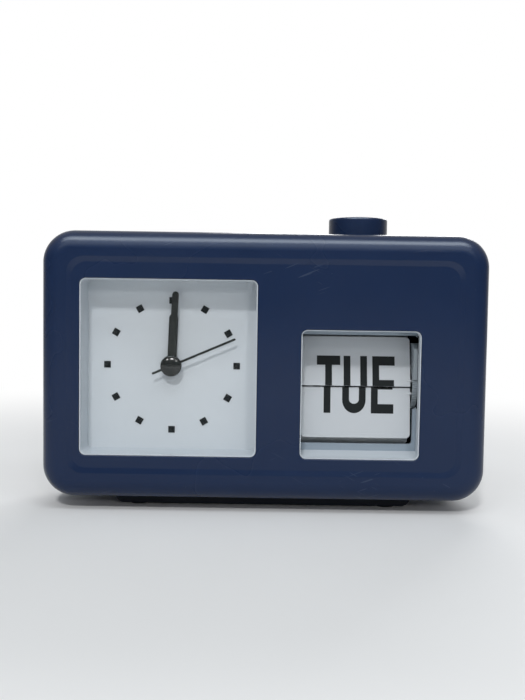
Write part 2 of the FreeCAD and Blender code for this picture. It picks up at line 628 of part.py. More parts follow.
# ---- Movement -----------------------------------------------------------------------------------
def movement_case():
    """The two halves of the movement's case; the front half carries the bush through the dial."""
    half = MOVEMENT_SIZE / 2
    split = MOVEMENT_SPLIT
    low, high = DIAL_AXIS_Z - half, DIAL_AXIS_Z + half
    outer = rounded_block(DIAL_X - half, DIAL_X + half, MOVEMENT_FRONT, split, low, high, 3.0)
    inner = rounded_block(DIAL_X - half + MOVEMENT_WALL, DIAL_X + half - MOVEMENT_WALL,
                          WHEELS_FRONT, split + 1,
                          low + MOVEMENT_WALL, high - MOVEMENT_WALL, 1.6)
    front = outer.cut(inner)
    front = front.fuse(rod_y(DIAL_X, DIAL_AXIS_Z, 3.8, DIAL_DEPTH - 0.8, MOVEMENT_FRONT + 0.5))
    front = front.cut(rod_y(DIAL_X, DIAL_AXIS_Z, HOUR_TUBE_RADIUS + FIT, DIAL_DEPTH - 2, MOVEMENT_FRONT + 3))
    for x, z in movement_screw_places():
        front = front.fuse(rod_y(x, z, 2.4, MOVEMENT_FRONT + 0.5, split))
        front = front.cut(rod_y(x, z, SMALL_HOLE, MOVEMENT_FRONT + 1, split + 1))
    save("movement_front", front)
    outer = rounded_block(DIAL_X - half, DIAL_X + half, split, MOVEMENT_BACK, low, high, 3.0)
    inner = rounded_block(DIAL_X - half + MOVEMENT_WALL, DIAL_X + half - MOVEMENT_WALL, split - 1,
                          MOVEMENT_BACK - MOVEMENT_WALL, low + MOVEMENT_WALL, high - MOVEMENT_WALL, 1.6)
    back = outer.cut(inner)
    for x, z in movement_screw_places():
        back = back.fuse(rod_y(x, z, 2.6, split, MOVEMENT_BACK))
        back = back.cut(rod_y(x, z, SMALL_CLEARANCE, split - 1, MOVEMENT_BACK + 1))
        back = back.cut(rod_y(x, z, 2.0, MOVEMENT_BACK - 1.6, MOVEMENT_BACK + 1))
    back = back.cut(rod_y(DIAL_X, MOTION_Z, SETTING_STEM_RADIUS + FIT, split - 1, MOVEMENT_BACK + 1))
    # bearing cups for the seconds arbor, the reduction wheel and the rotor
    for x, z in ((DIAL_X, DIAL_AXIS_Z), (REDUCTION_X, DIAL_AXIS_Z), (REDUCTION_X, ROTOR_Z)):
        back = back.fuse(rod_y(x, z, 1.8, MOVEMENT_BACK - 3.0, MOVEMENT_BACK - 0.5))
        back = back.cut(rod_y(x, z, PIVOT_RADIUS + FIT, MOVEMENT_BACK - 4, MOVEMENT_BACK - 1.2))
    save("movement_cover", back)


def movement_screw_places():
    """Four screws near the corners of the movement."""
    reach = MOVEMENT_SIZE / 2 - 4.5
    return [(DIAL_X + sx * reach, DIAL_AXIS_Z + sz * reach) for sx in (-1, 1) for sz in (-1, 1)]


def small_screws():
    """The movement's four screws and the dial plate's two."""
    save("movement_screws", *[screw_y(x, z, MOVEMENT_BACK, MOVEMENT_FRONT + 1.5, SMALL_HEAD, SMALL_SHANK)
                              for x, z in movement_screw_places()])
    save("dial_screws", *[screw_y(x, z, MOVEMENT_FRONT + 1.6, DIAL_DEPTH - 5, SMALL_HEAD, SMALL_SHANK)
                          for x, z in dial_screw_places()])


def hand_wheels():
    """The gearing between the three hands: two tubes and an arbor inside each other, and the motion wheel."""
    first = WHEELS_FRONT
    x, z = DIAL_X, DIAL_AXIS_Z
    hour_back = HOUR_HAND_DEPTH + HOUR_HAND_THICK
    hour = rod_y(x, z, HOUR_TUBE_RADIUS, hour_back, first + 1.4)
    hour = hour.fuse(rod_y(x, z, HOUR_SEAT_RADIUS, HOUR_HAND_DEPTH, hour_back))
    hour = hour.fuse(gear(x, z, HOUR_WHEEL_TEETH, HOUR_MODULE, first + 0.4, first + 1.4, 90))
    save("hour_wheel", hour.cut(rod_y(x, z, MINUTE_TUBE_RADIUS + FIT, HOUR_HAND_DEPTH - 1, MOVEMENT_BACK)))
    cannon = gear(x, z, CANNON_TEETH, WHEEL_MODULE, first + 1.8, first + 3.2, 90)
    cannon = cannon.fuse(rod_y(x, z, MINUTE_TUBE_RADIUS, MINUTE_HAND_DEPTH, first + 1.8))
    bore = rod_y(x, z, SECONDS_ARBOR_RADIUS + FIT, MINUTE_HAND_DEPTH - 1, MOVEMENT_BACK)
    save("minute_arbor", cannon.cut(bore))
    motion = gear(x, MOTION_Z, MOTION_TEETH, WHEEL_MODULE, first + 2.0, first + 3.0, -90 + 180 / MOTION_TEETH)
    pinion = gear(x, MOTION_Z, HOUR_PINION_TEETH, HOUR_MODULE, first + 0.3, first + 2.0,
                  -90 + 180 / HOUR_PINION_TEETH)
    save("motion_wheel", motion.fuse(pinion).fuse(rod_y(x, MOTION_Z, 1.0, first + 3.0, first + 4.0)))
    seconds = gear(x, z, SECONDS_TEETH, DRIVE_MODULE, first + 4.2, first + 5.0, 180)
    front = SECOND_HAND_DEPTH + SECOND_HAND_THICK
    seconds = seconds.fuse(rod_y(x, z, SECONDS_ARBOR_RADIUS, front, first + 5.0))
    seconds = seconds.fuse(rod_y(x, z, PIVOT_RADIUS, first + 5.0, MOVEMENT_BACK - 1.4))
    save("seconds_wheel", seconds)


def drive_wheels():
    """The reduction wheel and the magnet rotor that steps it."""
    first = WHEELS_FRONT
    x = REDUCTION_X
    pinion = gear(x, DIAL_AXIS_Z, REDUCTION_PINION_TEETH, DRIVE_MODULE, first + 4.1, first + 5.3,
                  180 / REDUCTION_PINION_TEETH)
    wheel = gear(x, DIAL_AXIS_Z, REDUCTION_TEETH, DRIVE_MODULE, first + 5.3, first + 6.1, -90)
    arbor = rod_y(x, DIAL_AXIS_Z, PIVOT_RADIUS, first + 3.0, MOVEMENT_BACK - 1.4)
    save("reduction_wheel", pinion.fuse(wheel).fuse(arbor))
    pinion = gear(x, ROTOR_Z, ROTOR_TEETH, DRIVE_MODULE, first + 5.1, first + 6.3, 90 + 180 / ROTOR_TEETH)
    magnet = rod_y(x, ROTOR_Z, 2.4, first + 2.2, first + 3.6)
    arbor = rod_y(x, ROTOR_Z, PIVOT_RADIUS, first + 1.4, MOVEMENT_BACK - 1.4)
    save("rotor", pinion.fuse(magnet).fuse(arbor))


def drive():
    """The coil on its core, the stator round the rotor and the circuit board."""
    first = WHEELS_FRONT
    x0, z0 = REDUCTION_X, ROTOR_Z
    stator = block(x0 - 4.5, x0 + 26, first + 2.4, first + 3.4, z0 - 11, z0 + 4.5)
    stator = stator.cut(block(x0 + 4.4, x0 + 22, first + 2, first + 4, z0 - 7.5, z0 + 5))
    stator = stator.cut(rod_y(x0, z0, 3.0, first + 2, first + 4))
    save("stator", stator.cut(block(x0 - 0.3, x0 + 0.3, first + 2, first + 4, z0, z0 + 5)))
    coil_y, coil_z = y_at(first + 2.9), z0 - 9.2
    coil = rod_x(coil_y, coil_z, 2.3, x0 + 6.5, x0 + 21)
    for x in (x0 + 5.5, x0 + 21):
        coil = coil.fuse(rod_x(coil_y, coil_z, 2.8, x, x + 1))
    coil = coil.cut(block(x0 + 5, x0 + 23, first + 2.35, first + 3.45, z0 - 11.05, z0 - 7.45))
    save("drive_coil", coil)
    save("circuit_board", block(DIAL_X - 14, DIAL_X + 14, first + 8.0, first + 9.0,
                                DIAL_AXIS_Z - 23.5, DIAL_AXIS_Z - 12))


def set_knob():
    """The knurled setting knob at the back, on a long stem that drives the motion wheel."""
    ridges = 20
    points = []
    for k in range(ridges * 2):
        points.append(polar(DIAL_X, MOTION_Z, 7.0 if k % 2 else 6.5, k * 180.0 / ridges))
    knob = prism_y(points, CASE_DEPTH + 0.4, CASE_DEPTH + KNOB_STAND)
    knob = knob.fuse(rod_y(DIAL_X, MOTION_Z, 2.4, CASE_DEPTH - WALL - 1, CASE_DEPTH + 0.5))
    stem = rod_y(DIAL_X, MOTION_Z, SETTING_STEM_RADIUS, WHEELS_FRONT + 4.0, CASE_DEPTH - WALL)
    save("set_knob", knob.fuse(stem))


# ---- Day cards ----------------------------------------------------------------------------------
def station_angle(k):
    """Angle of pin k round the spool, from the front over the top."""
    return DAY_STEP / 2 + k * DAY_STEP


def pin_place(k):
    """(y, z) of the hinge pin at station k."""
    a = math.radians(station_angle(k))
    return SPOOL_Y - PIN_CIRCLE * math.cos(a), SPOOL_Z + PIN_CIRCLE * math.sin(a)


def card(k):
    """The card at station k, hinged on its two end pins."""
    y, z = pin_place(k)
    half = CARD_THICK / 2
    body = Part.makeBox(CARD_WIDTH, CARD_THICK, CARD_LENGTH, V(CARD_LEFT, y - half, z - CARD_ROOT))
    far = [e for e in edges_along(body, V(0, 1, 0)) if e.Vertexes[0].Point.z > z]
    body = body.makeFillet(CARD_CORNER, far)
    reach = DISC_GAP + DISC_THICK - 0.4
    for x0, x1 in ((CARD_LEFT - reach, CARD_LEFT + 1.2), (CARD_RIGHT - 1.2, CARD_RIGHT + reach)):
        body = body.fuse(rod_x(y, z, CARD_PIN_RADIUS, x0, x1))
    body.rotate(V(0, y, z), V(1, 0, 0), 90.0 - CARD_ANGLES[k])
    return body


def cards():
    """Seven cards; card_1 is the upper one in view and card_7 the lower one."""
    for k in range(DAY_COUNT):
        save("day_card_%d" % (k + 1), card(k))


def spool():
    """The axle, the two end discs and the ratchet wheel."""
    axle = rod_x(SPOOL_Y, SPOOL_Z, AXLE_RADIUS, CHEEK_LEFT - 0.6, CHEEK_RIGHT + CHEEK_THICK + 0.6)
    save("spool_axle", axle)
    left, right = CARD_LEFT - DISC_GAP - DISC_THICK, CARD_RIGHT + DISC_GAP
    for name, x in (("spool_disc_left", left), ("spool_disc_right", right)):
        disc = rod_x(SPOOL_Y, SPOOL_Z, DISC_RADIUS, x, x + DISC_THICK)
        disc = disc.cut(rod_x(SPOOL_Y, SPOOL_Z, AXLE_RADIUS, x - 1, x + DISC_THICK + 1))
        for k in range(DAY_COUNT):
            y, z = pin_place(k)
            disc = disc.cut(rod_x(y, z, CARD_PIN_RADIUS + FIT, x - 1, x + DISC_THICK + 1))
        save(name, disc)
    points = []
    for k in range(DAY_COUNT):
        tip = station_angle(k)
        corners = ((RATCHET_ROOT, -30), (RATCHET_RADIUS, -6), (RATCHET_RADIUS, 0), (RATCHET_ROOT, 4))
        for radius, turn in corners:
            a = math.radians(tip + turn)
            points.append((SPOOL_Y - radius * math.cos(a), SPOOL_Z + radius * math.sin(a)))
    wheel = prism_x(points, RATCHET_X, RATCHET_X + 1.6)
    save("ratchet_wheel", wheel.cut(rod_x(SPOOL_Y, SPOOL_Z, AXLE_RADIUS, RATCHET_X - 1, RATCHET_X + 3)))


def calendar_cradle():
    """The frame that carries the spool: floor, two cheeks with bearing holes, and the button's bridge."""
    front, back = 14.9, SHELF_BACK
    left, right = CHEEK_LEFT, CHEEK_RIGHT + CHEEK_THICK
    body = block(left, right, front, back, CRADLE_FLOOR, CRADLE_FLOOR + 2)
    for x in (left, CHEEK_RIGHT):
        body = body.fuse(block(x, x + CHEEK_THICK, front, back, CRADLE_FLOOR, BRIDGE_Z + 2))
    body = body.fuse(block(left, right, front + 2, back, BRIDGE_Z, BRIDGE_Z + 2))
    body = body.fuse(rod_z(BUTTON_X, BUTTON_Y, 5.0, BRIDGE_Z - 1.5, BRIDGE_Z + 2))
    body = body.cut(rod_z(BUTTON_X, BUTTON_Y, STEM_RADIUS + FIT, BRIDGE_Z - 3, BRIDGE_Z + 3))
    body = body.cut(rod_x(SPOOL_Y, SPOOL_Z, AXLE_RADIUS + FIT, left - 1, right + 1))
    body = body.cut(rod_x(y_at(GUIDE_PEG_DEPTH), GUIDE_PEG_Z, GUIDE_PEG_RADIUS + FIT, left - 1, right + 1))
    for x in cradle_screw_xs():
        body = body.cut(rod_z(x, y_at(SHELF_BACK - 6), 1.5, CRADLE_FLOOR - 1, CRADLE_FLOOR + 3))
    # window in each cheek for lightness
    for x in (left, CHEEK_RIGHT):
        body = body.cut(block(x - 1, x + CHEEK_THICK + 1, front + 5, back - 5, SPOOL_Z + 9, BRIDGE_Z - 6))
    save("calendar_cradle", body)
    screws = []
    for x in cradle_screw_xs():
        y = y_at(SHELF_BACK - 6)
        head = rod_z(x, y, 2.6, CRADLE_FLOOR + 2, CRADLE_FLOOR + 3.5)
        slot = block(x - 1.8, x + 1.8, SHELF_BACK - 6.4, SHELF_BACK - 5.6,
                     CRADLE_FLOOR + 2.7, CRADLE_FLOOR + 4)
        screws.append(head.fuse(rod_z(x, y, SCREW_SHANK, CRADLE_FLOOR - 1.6, CRADLE_FLOOR + 2)).cut(slot))
    save("cradle_screws", *screws)


def card_guides():
    """Two side guides beside the raised cards, each pegged to a cheek of the cradle."""
    spool_room = rod_x(SPOOL_Y, SPOOL_Z, DISC_RADIUS + 0.4, CHEEK_LEFT, CHEEK_RIGHT)
    solids = []
    left, right = CARD_LEFT - GUIDE_GAP, CARD_RIGHT + GUIDE_GAP
    for side, near, cheek in ((-1, left, CHEEK_LEFT + CHEEK_THICK), (1, right, CHEEK_RIGHT)):
        far = near + side * GUIDE_THICK
        peg_end = cheek + side * (CHEEK_THICK - 0.2)
        fin = block(min(near, far), max(near, far), GUIDE_FRONT, GUIDE_BACK, SPOOL_Z, GUIDE_TOP)
        corner = [e for e in edges_along(fin, V(1, 0, 0))
                  if e.Vertexes[0].Point.z > GUIDE_TOP - 0.1 and e.Vertexes[0].Point.y < y_at(GUIDE_FRONT + 0.1)]
        fin = fin.makeFillet(5.0, corner).cut(spool_room)
        arm = block(min(near, cheek), max(near, cheek), GUIDE_BACK - 2.4, GUIDE_BACK, GUIDE_TOP - 6, GUIDE_TOP)
        peg = rod_x(y_at(GUIDE_PEG_DEPTH), GUIDE_PEG_Z, GUIDE_PEG_RADIUS,
                    min(near, peg_end), max(near, peg_end))
        solids.append(fin.fuse(arm).fuse(peg).removeSplitter())
    save("card_guides", *solids)


def detent_spring():
    """A strip spring behind the ratchet wheel that steadies each day."""
    y = SPOOL_Y + RATCHET_RADIUS + 0.2
    strip = Part.makeBox(1.4, 0.4, SPOOL_Z + 3 - CRADLE_FLOOR - 2, V(RATCHET_X + 0.1, y, CRADLE_FLOOR + 2))
    foot = Part.makeBox(1.4, 4.0, 0.4, V(RATCHET_X + 0.1, y, CRADLE_FLOOR + 2))
    save("detent_spring", strip.fuse(foot))


# ---- Button -------------------------------------------------------------------------------------
def day_button():
    """The round push button, hollow below, with a retaining flange and a stem."""
    y = BUTTON_Y
    top = CASE_TOP + BUTTON_RISE
    roof = CASE_TOP - HOUSING_INSET - WALL
    cap = rod_z(BUTTON_X, y, BUTTON_RADIUS, roof - 1.6, top)
    rim = [e for e in cap.Edges if abs(e.CenterOfMass.z - top) < 1e-4 and e.Curve.TypeId == "Part::GeomCircle"]
    cap = cap.makeFillet(0.9, rim)
    cap = cap.fuse(rod_z(BUTTON_X, y, BUTTON_RADIUS + 1.3, roof - 1.6, roof - 0.1))
    cap = cap.cut(rod_z(BUTTON_X, y, BUTTON_RADIUS - 2.0, roof - 3, top - 2.2))
    cap = cap.fuse(rod_z(BUTTON_X, y, STEM_RADIUS, BRIDGE_Z - 5.0, top - 2.0))
    save("day_button", cap)


def button_spring():
    """The coil spring between the bridge and the button."""
    wire, radius, turns = 0.4, 4.6, 7
    low, high = BRIDGE_Z + 2 + wire, CASE_TOP + BUTTON_RISE - 2.2 - wire
    helix = Part.makeHelix((high - low) / turns, high - low, radius)
    path = Part.Wire(helix.Edges)
    circle = Part.Wire([Part.makeCircle(wire, V(radius, 0, 0), V(0, 1, 0))])
    coil = Part.Solid(path.makePipeShell([circle], True, True))
    coil.translate(V(BUTTON_X, BUTTON_Y, low))
    save("button_spring", coil)


def push_arm():
    """The arm on the stem, and the hooked pawl that it carries down to the ratchet wheel."""
    y = BUTTON_Y
    z1 = BRIDGE_Z - 2.5
    z0 = z1 - 2.5
    reach = RATCHET_X + 1.5
    arm = Part.makeBox(reach - BUTTON_X, 6, z1 - z0, V(BUTTON_X, y - 3, z0))
    arm = arm.fuse(rod_z(BUTTON_X, y, 5.0, z0, z1)).cut(rod_z(BUTTON_X, y, STEM_RADIUS, z0 - 1, z1 + 1))
    bar_front = SPOOL_Y - RATCHET_RADIUS - 1.3
    bar_left = RATCHET_X - 1.5
    arm = arm.fuse(Part.makeBox(reach - bar_left, y - bar_front, z1 - z0, V(bar_left, bar_front, z0)))
    save("push_arm", arm)
    hook_low = SPOOL_Z + RATCHET_RADIUS * math.sin(math.radians(DAY_STEP / 2)) + 0.25
    thick = 1.1
    bar = Part.makeBox(1.4, thick, z0 - hook_low, V(RATCHET_X + 0.1, bar_front, hook_low))
    hook = Part.makeBox(1.4, thick + 0.85, 1.2, V(RATCHET_X + 0.1, bar_front, hook_low))
    save("push_pawl", bar.fuse(hook))


# ---- The whole clock ----------------------------------------------------------------------------
def build():
    """Writes every sub-part to its own file."""
    os.makedirs("parts", exist_ok=True)
    front_bezel()
    rear_housing()
    inner_frame()
    battery_door()
    battery()
    battery_contacts()
    case_screws()
    base_foot()
    rubber_pads()
    foot_screws()
    dial_lens()
    dial_plate()
    hour_markers()
    hands()
    movement_case()
    small_screws()
    hand_wheels()
    drive_wheels()
    drive()
    set_knob()
    cards()
    spool()
    calendar_cradle()
    card_guides()
    detent_spring()
    day_button()
    button_spring()
    push_arm()


build()
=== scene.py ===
"""Desk clock with a flip calendar: finishes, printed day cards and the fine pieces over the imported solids.

Lengths in the classes are millimetres, and MM turns them into Blender's metres. +Z is up, the face looks
towards -Y and +X is to the right of someone reading it.
"""
from __future__ import annotations

import json
import logging
import math
from dataclasses import dataclass, field, replace
from enum import Enum
from typing import Callable, Iterable, Sequence

import bmesh
import bpy
from mathutils import Matrix, Vector

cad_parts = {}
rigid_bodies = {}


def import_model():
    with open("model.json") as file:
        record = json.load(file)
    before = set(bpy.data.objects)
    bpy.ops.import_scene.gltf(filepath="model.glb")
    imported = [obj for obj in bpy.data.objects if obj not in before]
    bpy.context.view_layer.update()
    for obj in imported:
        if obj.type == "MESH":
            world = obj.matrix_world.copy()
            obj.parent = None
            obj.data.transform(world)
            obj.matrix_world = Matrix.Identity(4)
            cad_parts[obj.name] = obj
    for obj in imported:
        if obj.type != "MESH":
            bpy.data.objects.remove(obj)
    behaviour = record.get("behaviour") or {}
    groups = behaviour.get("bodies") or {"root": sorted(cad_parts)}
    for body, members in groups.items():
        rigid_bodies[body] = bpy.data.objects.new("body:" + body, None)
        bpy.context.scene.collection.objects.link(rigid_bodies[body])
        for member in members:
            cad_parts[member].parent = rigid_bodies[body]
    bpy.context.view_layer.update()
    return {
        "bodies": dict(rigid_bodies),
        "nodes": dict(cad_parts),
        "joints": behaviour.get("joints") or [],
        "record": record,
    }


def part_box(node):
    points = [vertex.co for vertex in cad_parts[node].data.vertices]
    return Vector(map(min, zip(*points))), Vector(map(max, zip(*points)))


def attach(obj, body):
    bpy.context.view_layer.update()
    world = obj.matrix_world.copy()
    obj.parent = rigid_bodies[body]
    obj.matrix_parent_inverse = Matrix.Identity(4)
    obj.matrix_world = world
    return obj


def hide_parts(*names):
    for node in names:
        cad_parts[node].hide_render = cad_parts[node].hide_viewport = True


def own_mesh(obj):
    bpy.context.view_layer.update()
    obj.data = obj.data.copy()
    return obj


MM = 0.001
LOG = logging.getLogger("desk_clock")

# Metres: points closer than WELD are one point, and edges shorter than SLIVER are cleared away.
WELD = 1e-7
SLIVER = 1e-6
# Millimetres by which a raised mark stands in the surface under it.
SINK = 0.02

Point = tuple[float, float]
Span = tuple[float, float]
Colour = tuple[float, float, float]
Paint = tuple[float, float, float, float]


# ---- Node wiring --------------------------------------------------------------------------------
def opaque(colour: Colour) -> Paint:
    """Gives a colour full alpha, as a colour socket takes it."""
    return (*colour, 1.0)


def grey(level: float) -> Paint:
    """Gives an opaque grey."""
    return opaque((level, level, level))


class Board:
    """A node tree on the bench: nodes are added with their values, and a socket as a value is linked."""

    def __init__(self, tree: bpy.types.NodeTree) -> None:
        """Takes an empty or emptied node tree."""
        self.tree = tree
        self.count = 0

    def add(self, kind: str, values: dict | None = None, **settings: object) -> bpy.types.Node:
        """Adds one node.

        Args:
            kind: The node's type name.
            values: Input name or number to a value or to the output socket that feeds it.
            settings: Properties of the node itself.

        Returns:
            The new node.
        """
        node = self.tree.nodes.new(kind)
        node.location = (self.count % 8 * 190, -(self.count // 8) * 260)
        self.count += 1
        for name, setting in settings.items():
            setattr(node, name, setting)
        self.set(node, values or {})
        return node

    def set(self, node: bpy.types.Node, values: dict) -> None:
        """Gives a node's inputs their values and links.

        Args:
            node: The node.
            values: Input name or number to a value or to the output socket that feeds it.
        """
        for name, value in values.items():
            if isinstance(value, bpy.types.NodeSocket):
                self.tree.links.new(value, node.inputs[name])
            else:
                node.inputs[name].default_value = value

    def math(self, operation: str, a: object, b: object = 0.0, clamp: bool = False) -> bpy.types.NodeSocket:
        """Adds a Math node and returns its value socket."""
        return self.add("ShaderNodeMath", {0: a, 1: b}, operation=operation, use_clamp=clamp).outputs[0]

    def ramp(self, value: object, span: Span, low: float = 0.0, high: float = 1.0) -> bpy.types.NodeSocket:
        """Maps a value smoothly from a span of its own to another range.

        Args:
            value: The value or the socket that gives it.
            span: The two values that become low and high.
            low: Where the new range starts.
            high: Where it ends.

        Returns:
            The socket of the result.
        """
        node = self.add(
            "ShaderNodeMapRange",
            {"Value": value, "From Min": span[0], "From Max": span[1], "To Min": low, "To Max": high},
            interpolation_type="SMOOTHSTEP",
        )
        return node.outputs["Result"]

    def tint(self, factor: object, base: object, other: object) -> bpy.types.NodeSocket:
        """Mixes two colours and returns the colour socket."""
        return self.add("ShaderNodeMix", {0: factor, 6: base, 7: other}, data_type="RGBA").outputs[2]

    def noise(
        self, vector: object, scale: object, detail: float = 2.0, roughness: float = 0.5
    ) -> bpy.types.NodeSocket:
        """Adds a noise texture and returns its value socket."""
        values = {"Vector": vector, "Scale": scale, "Detail": detail, "Roughness": roughness}
        return self.add("ShaderNodeTexNoise", values).outputs[0]

    def swing(self, noise: bpy.types.NodeSocket, amount: object) -> bpy.types.NodeSocket:
        """Centres a noise on nought, scales it and returns the value socket."""
        return self.math("MULTIPLY", self.math("SUBTRACT", noise, 0.5), amount)


def bare_board(owner: bpy.types.Material | bpy.types.World) -> Board:
    """Empties the node tree of a material or a world.

    Args:
        owner: What the tree belongs to.

    Returns:
        The board for its new nodes.
    """
    owner.use_nodes = True
    owner.node_tree.nodes.clear()
    return Board(owner.node_tree)


class EffectGroup:
    """A shader node group that several materials share, built once under its name."""

    NAME = ""
    INPUTS: tuple[tuple[str, str, object], ...] = ()
    OUTPUTS: tuple[tuple[str, str], ...] = ()

    @classmethod
    def tree(cls) -> bpy.types.NodeTree:
        """Makes the group's tree on its first use.

        Returns:
            The tree.
        """
        if cls.NAME in bpy.data.node_groups:
            return bpy.data.node_groups[cls.NAME]
        tree = bpy.data.node_groups.new(cls.NAME, "ShaderNodeTree")
        for name, kind, default in cls.INPUTS:
            socket = tree.interface.new_socket(name, in_out="INPUT", socket_type=kind)
            if default is not None:
                socket.default_value = default
        for name, kind in cls.OUTPUTS:
            tree.interface.new_socket(name, in_out="OUTPUT", socket_type=kind)
        board = Board(tree)
        source = board.add("NodeGroupInput")
        sink = board.add("NodeGroupOutput")
        for name, socket in cls.wire(board, source.outputs).items():
            tree.links.new(socket, sink.inputs[name])
        return tree

    @classmethod
    def wire(cls, board: Board, given: bpy.types.NodeOutputs) -> dict[str, bpy.types.NodeSocket]:
        """Wires the inside of the group.

        Args:
            board: The group's own board.
            given: The group's inputs, by name.

        Returns:
            Output name to the socket that feeds it.
        """
        raise NotImplementedError

    @classmethod
    def place(cls, board: Board, values: dict) -> bpy.types.Node:
        """Places the group in a material with its own values and returns the node."""
        return board.add("ShaderNodeGroup", values, node_tree=cls.tree())


class MouldedGrain(EffectGroup):
    """The fine spark-eroded grain of a moulded shell, over a broader orange peel."""

    NAME = "moulded_grain"
    INPUTS = (
        ("Vector", "NodeSocketVector", None),
        ("Grain Scale", "NodeSocketFloat", 2600.0),
        ("Peel Scale", "NodeSocketFloat", 620.0),
        ("Peel Share", "NodeSocketFloat", 0.5),
    )
    OUTPUTS = (("Height", "NodeSocketFloat"),)

    @classmethod
    def wire(cls, board: Board, given: bpy.types.NodeOutputs) -> dict[str, bpy.types.NodeSocket]:
        """Adds a fine and a broad noise in the given share.

        Args:
            board: The group's own board.
            given: The group's inputs, by name.

        Returns:
            Output name to the socket that feeds it.
        """
        fine = board.noise(given["Vector"], given["Grain Scale"], roughness=0.6)
        broad = board.noise(given["Vector"], given["Peel Scale"], detail=1.0, roughness=0.4)
        height = board.add("ShaderNodeMix", {0: given["Peel Share"], 2: fine, 3: broad}, data_type="FLOAT")
        return {"Height": height.outputs[0]}


class Mottle(EffectGroup):
    """Slow drift of colour and gloss over a surface, as moulding flow and handling leave it."""

    NAME = "mottle"
    INPUTS = (
        ("Vector", "NodeSocketVector", None),
        ("Colour", "NodeSocketColor", (0.5, 0.5, 0.5, 1.0)),
        ("Roughness", "NodeSocketFloat", 0.4),
        ("Scale", "NodeSocketFloat", 60.0),
        ("Amount", "NodeSocketFloat", 0.1),
    )
    OUTPUTS = (("Colour", "NodeSocketColor"), ("Roughness", "NodeSocketFloat"))
    # the gloss drifts in broader patches than the colour, and further
    SMEAR_SCALE = 0.35
    HAZE = 1.6

    @classmethod
    def wire(cls, board: Board, given: bpy.types.NodeOutputs) -> dict[str, bpy.types.NodeSocket]:
        """Lightens and darkens the colour and roughness with two noises.

        Args:
            board: The group's own board.
            given: The group's inputs, by name.

        Returns:
            Output name to the socket that feeds it.
        """
        cloud = board.noise(given["Vector"], given["Scale"], detail=4.0, roughness=0.6)
        bright = board.math("ADD", board.swing(cloud, given["Amount"]), 1.0)
        colour = board.add("ShaderNodeHueSaturation", {"Value": bright, "Color": given["Colour"]}).outputs[0]
        broad = board.math("MULTIPLY", given["Scale"], cls.SMEAR_SCALE)
        smear = board.noise(given["Vector"], broad, detail=3.0)
        haze = board.swing(smear, board.math("MULTIPLY", given["Amount"], cls.HAZE))
        return {"Colour": colour, "Roughness": board.math("ADD", given["Roughness"], haze, clamp=True)}


class HandlingMarks(EffectGroup):
    """Pale hairline scratches and specks of dust."""

    NAME = "handling_marks"
    INPUTS = (
        ("Vector", "NodeSocketVector", None),
        ("Colour", "NodeSocketColor", (0.5, 0.5, 0.5, 1.0)),
        ("Mark Colour", "NodeSocketColor", (0.5, 0.5, 0.5, 1.0)),
        ("Scratches", "NodeSocketFloat", 0.3),
        ("Dust", "NodeSocketFloat", 0.3),
    )
    OUTPUTS = (("Colour", "NodeSocketColor"),)
    # for each set of streaks, its turn about Y and its scale across the streaks
    STREAKS = ((0.35, 1500.0), (-0.5, 1900.0))
    STREAK_LEAN = 0.2
    STREAK_ALONG = 90.0
    STREAK_SPAN = (0.76, 0.80)
    PATCH_SCALE = 34.0
    PATCH_SPAN = (0.56, 0.66)
    SPECK_SCALE = 420.0
    SPECK_SPAN = (0.10, 0.05)
    CHOSEN_SPAN = (0.90, 0.93)

    @classmethod
    def wire(cls, board: Board, given: bpy.types.NodeOutputs) -> dict[str, bpy.types.NodeSocket]:
        """Draws two sets of long thin streaks, broken up, and scattered small dots.

        Args:
            board: The group's own board.
            given: The group's inputs, by name.

        Returns:
            Output name to the socket that feeds it.
        """
        sets = []
        for turn, across in cls.STREAKS:
            spin = {"Vector": given["Vector"], "Rotation": (0.0, turn, cls.STREAK_LEAN)}
            spun = board.add("ShaderNodeMapping", spin).outputs[0]
            stretch = {"Vector": spun, "Scale": (cls.STREAK_ALONG, cls.STREAK_ALONG, across)}
            laid = board.add("ShaderNodeMapping", stretch).outputs[0]
            sets.append(board.ramp(board.noise(laid, 1.0, detail=0.0, roughness=0.3), cls.STREAK_SPAN))
        patches = board.ramp(board.noise(given["Vector"], cls.PATCH_SCALE), cls.PATCH_SPAN)
        lines = board.math("MULTIPLY", board.math("MAXIMUM", *sets), patches)
        lines = board.math("MULTIPLY", lines, given["Scratches"])
        cells = board.add("ShaderNodeTexVoronoi", {"Vector": given["Vector"], "Scale": cls.SPECK_SCALE})
        dots = board.ramp(cells.outputs["Distance"], cls.SPECK_SPAN)
        lot = board.add("ShaderNodeSeparateColor", {"Color": cells.outputs["Color"]}).outputs[0]
        chosen = board.ramp(lot, cls.CHOSEN_SPAN)
        dots = board.math("MULTIPLY", board.math("MULTIPLY", dots, chosen), given["Dust"])
        mask = board.math("MAXIMUM", lines, dots, clamp=True)
        return {"Colour": board.tint(mask, given["Colour"], given["Mark Colour"])}


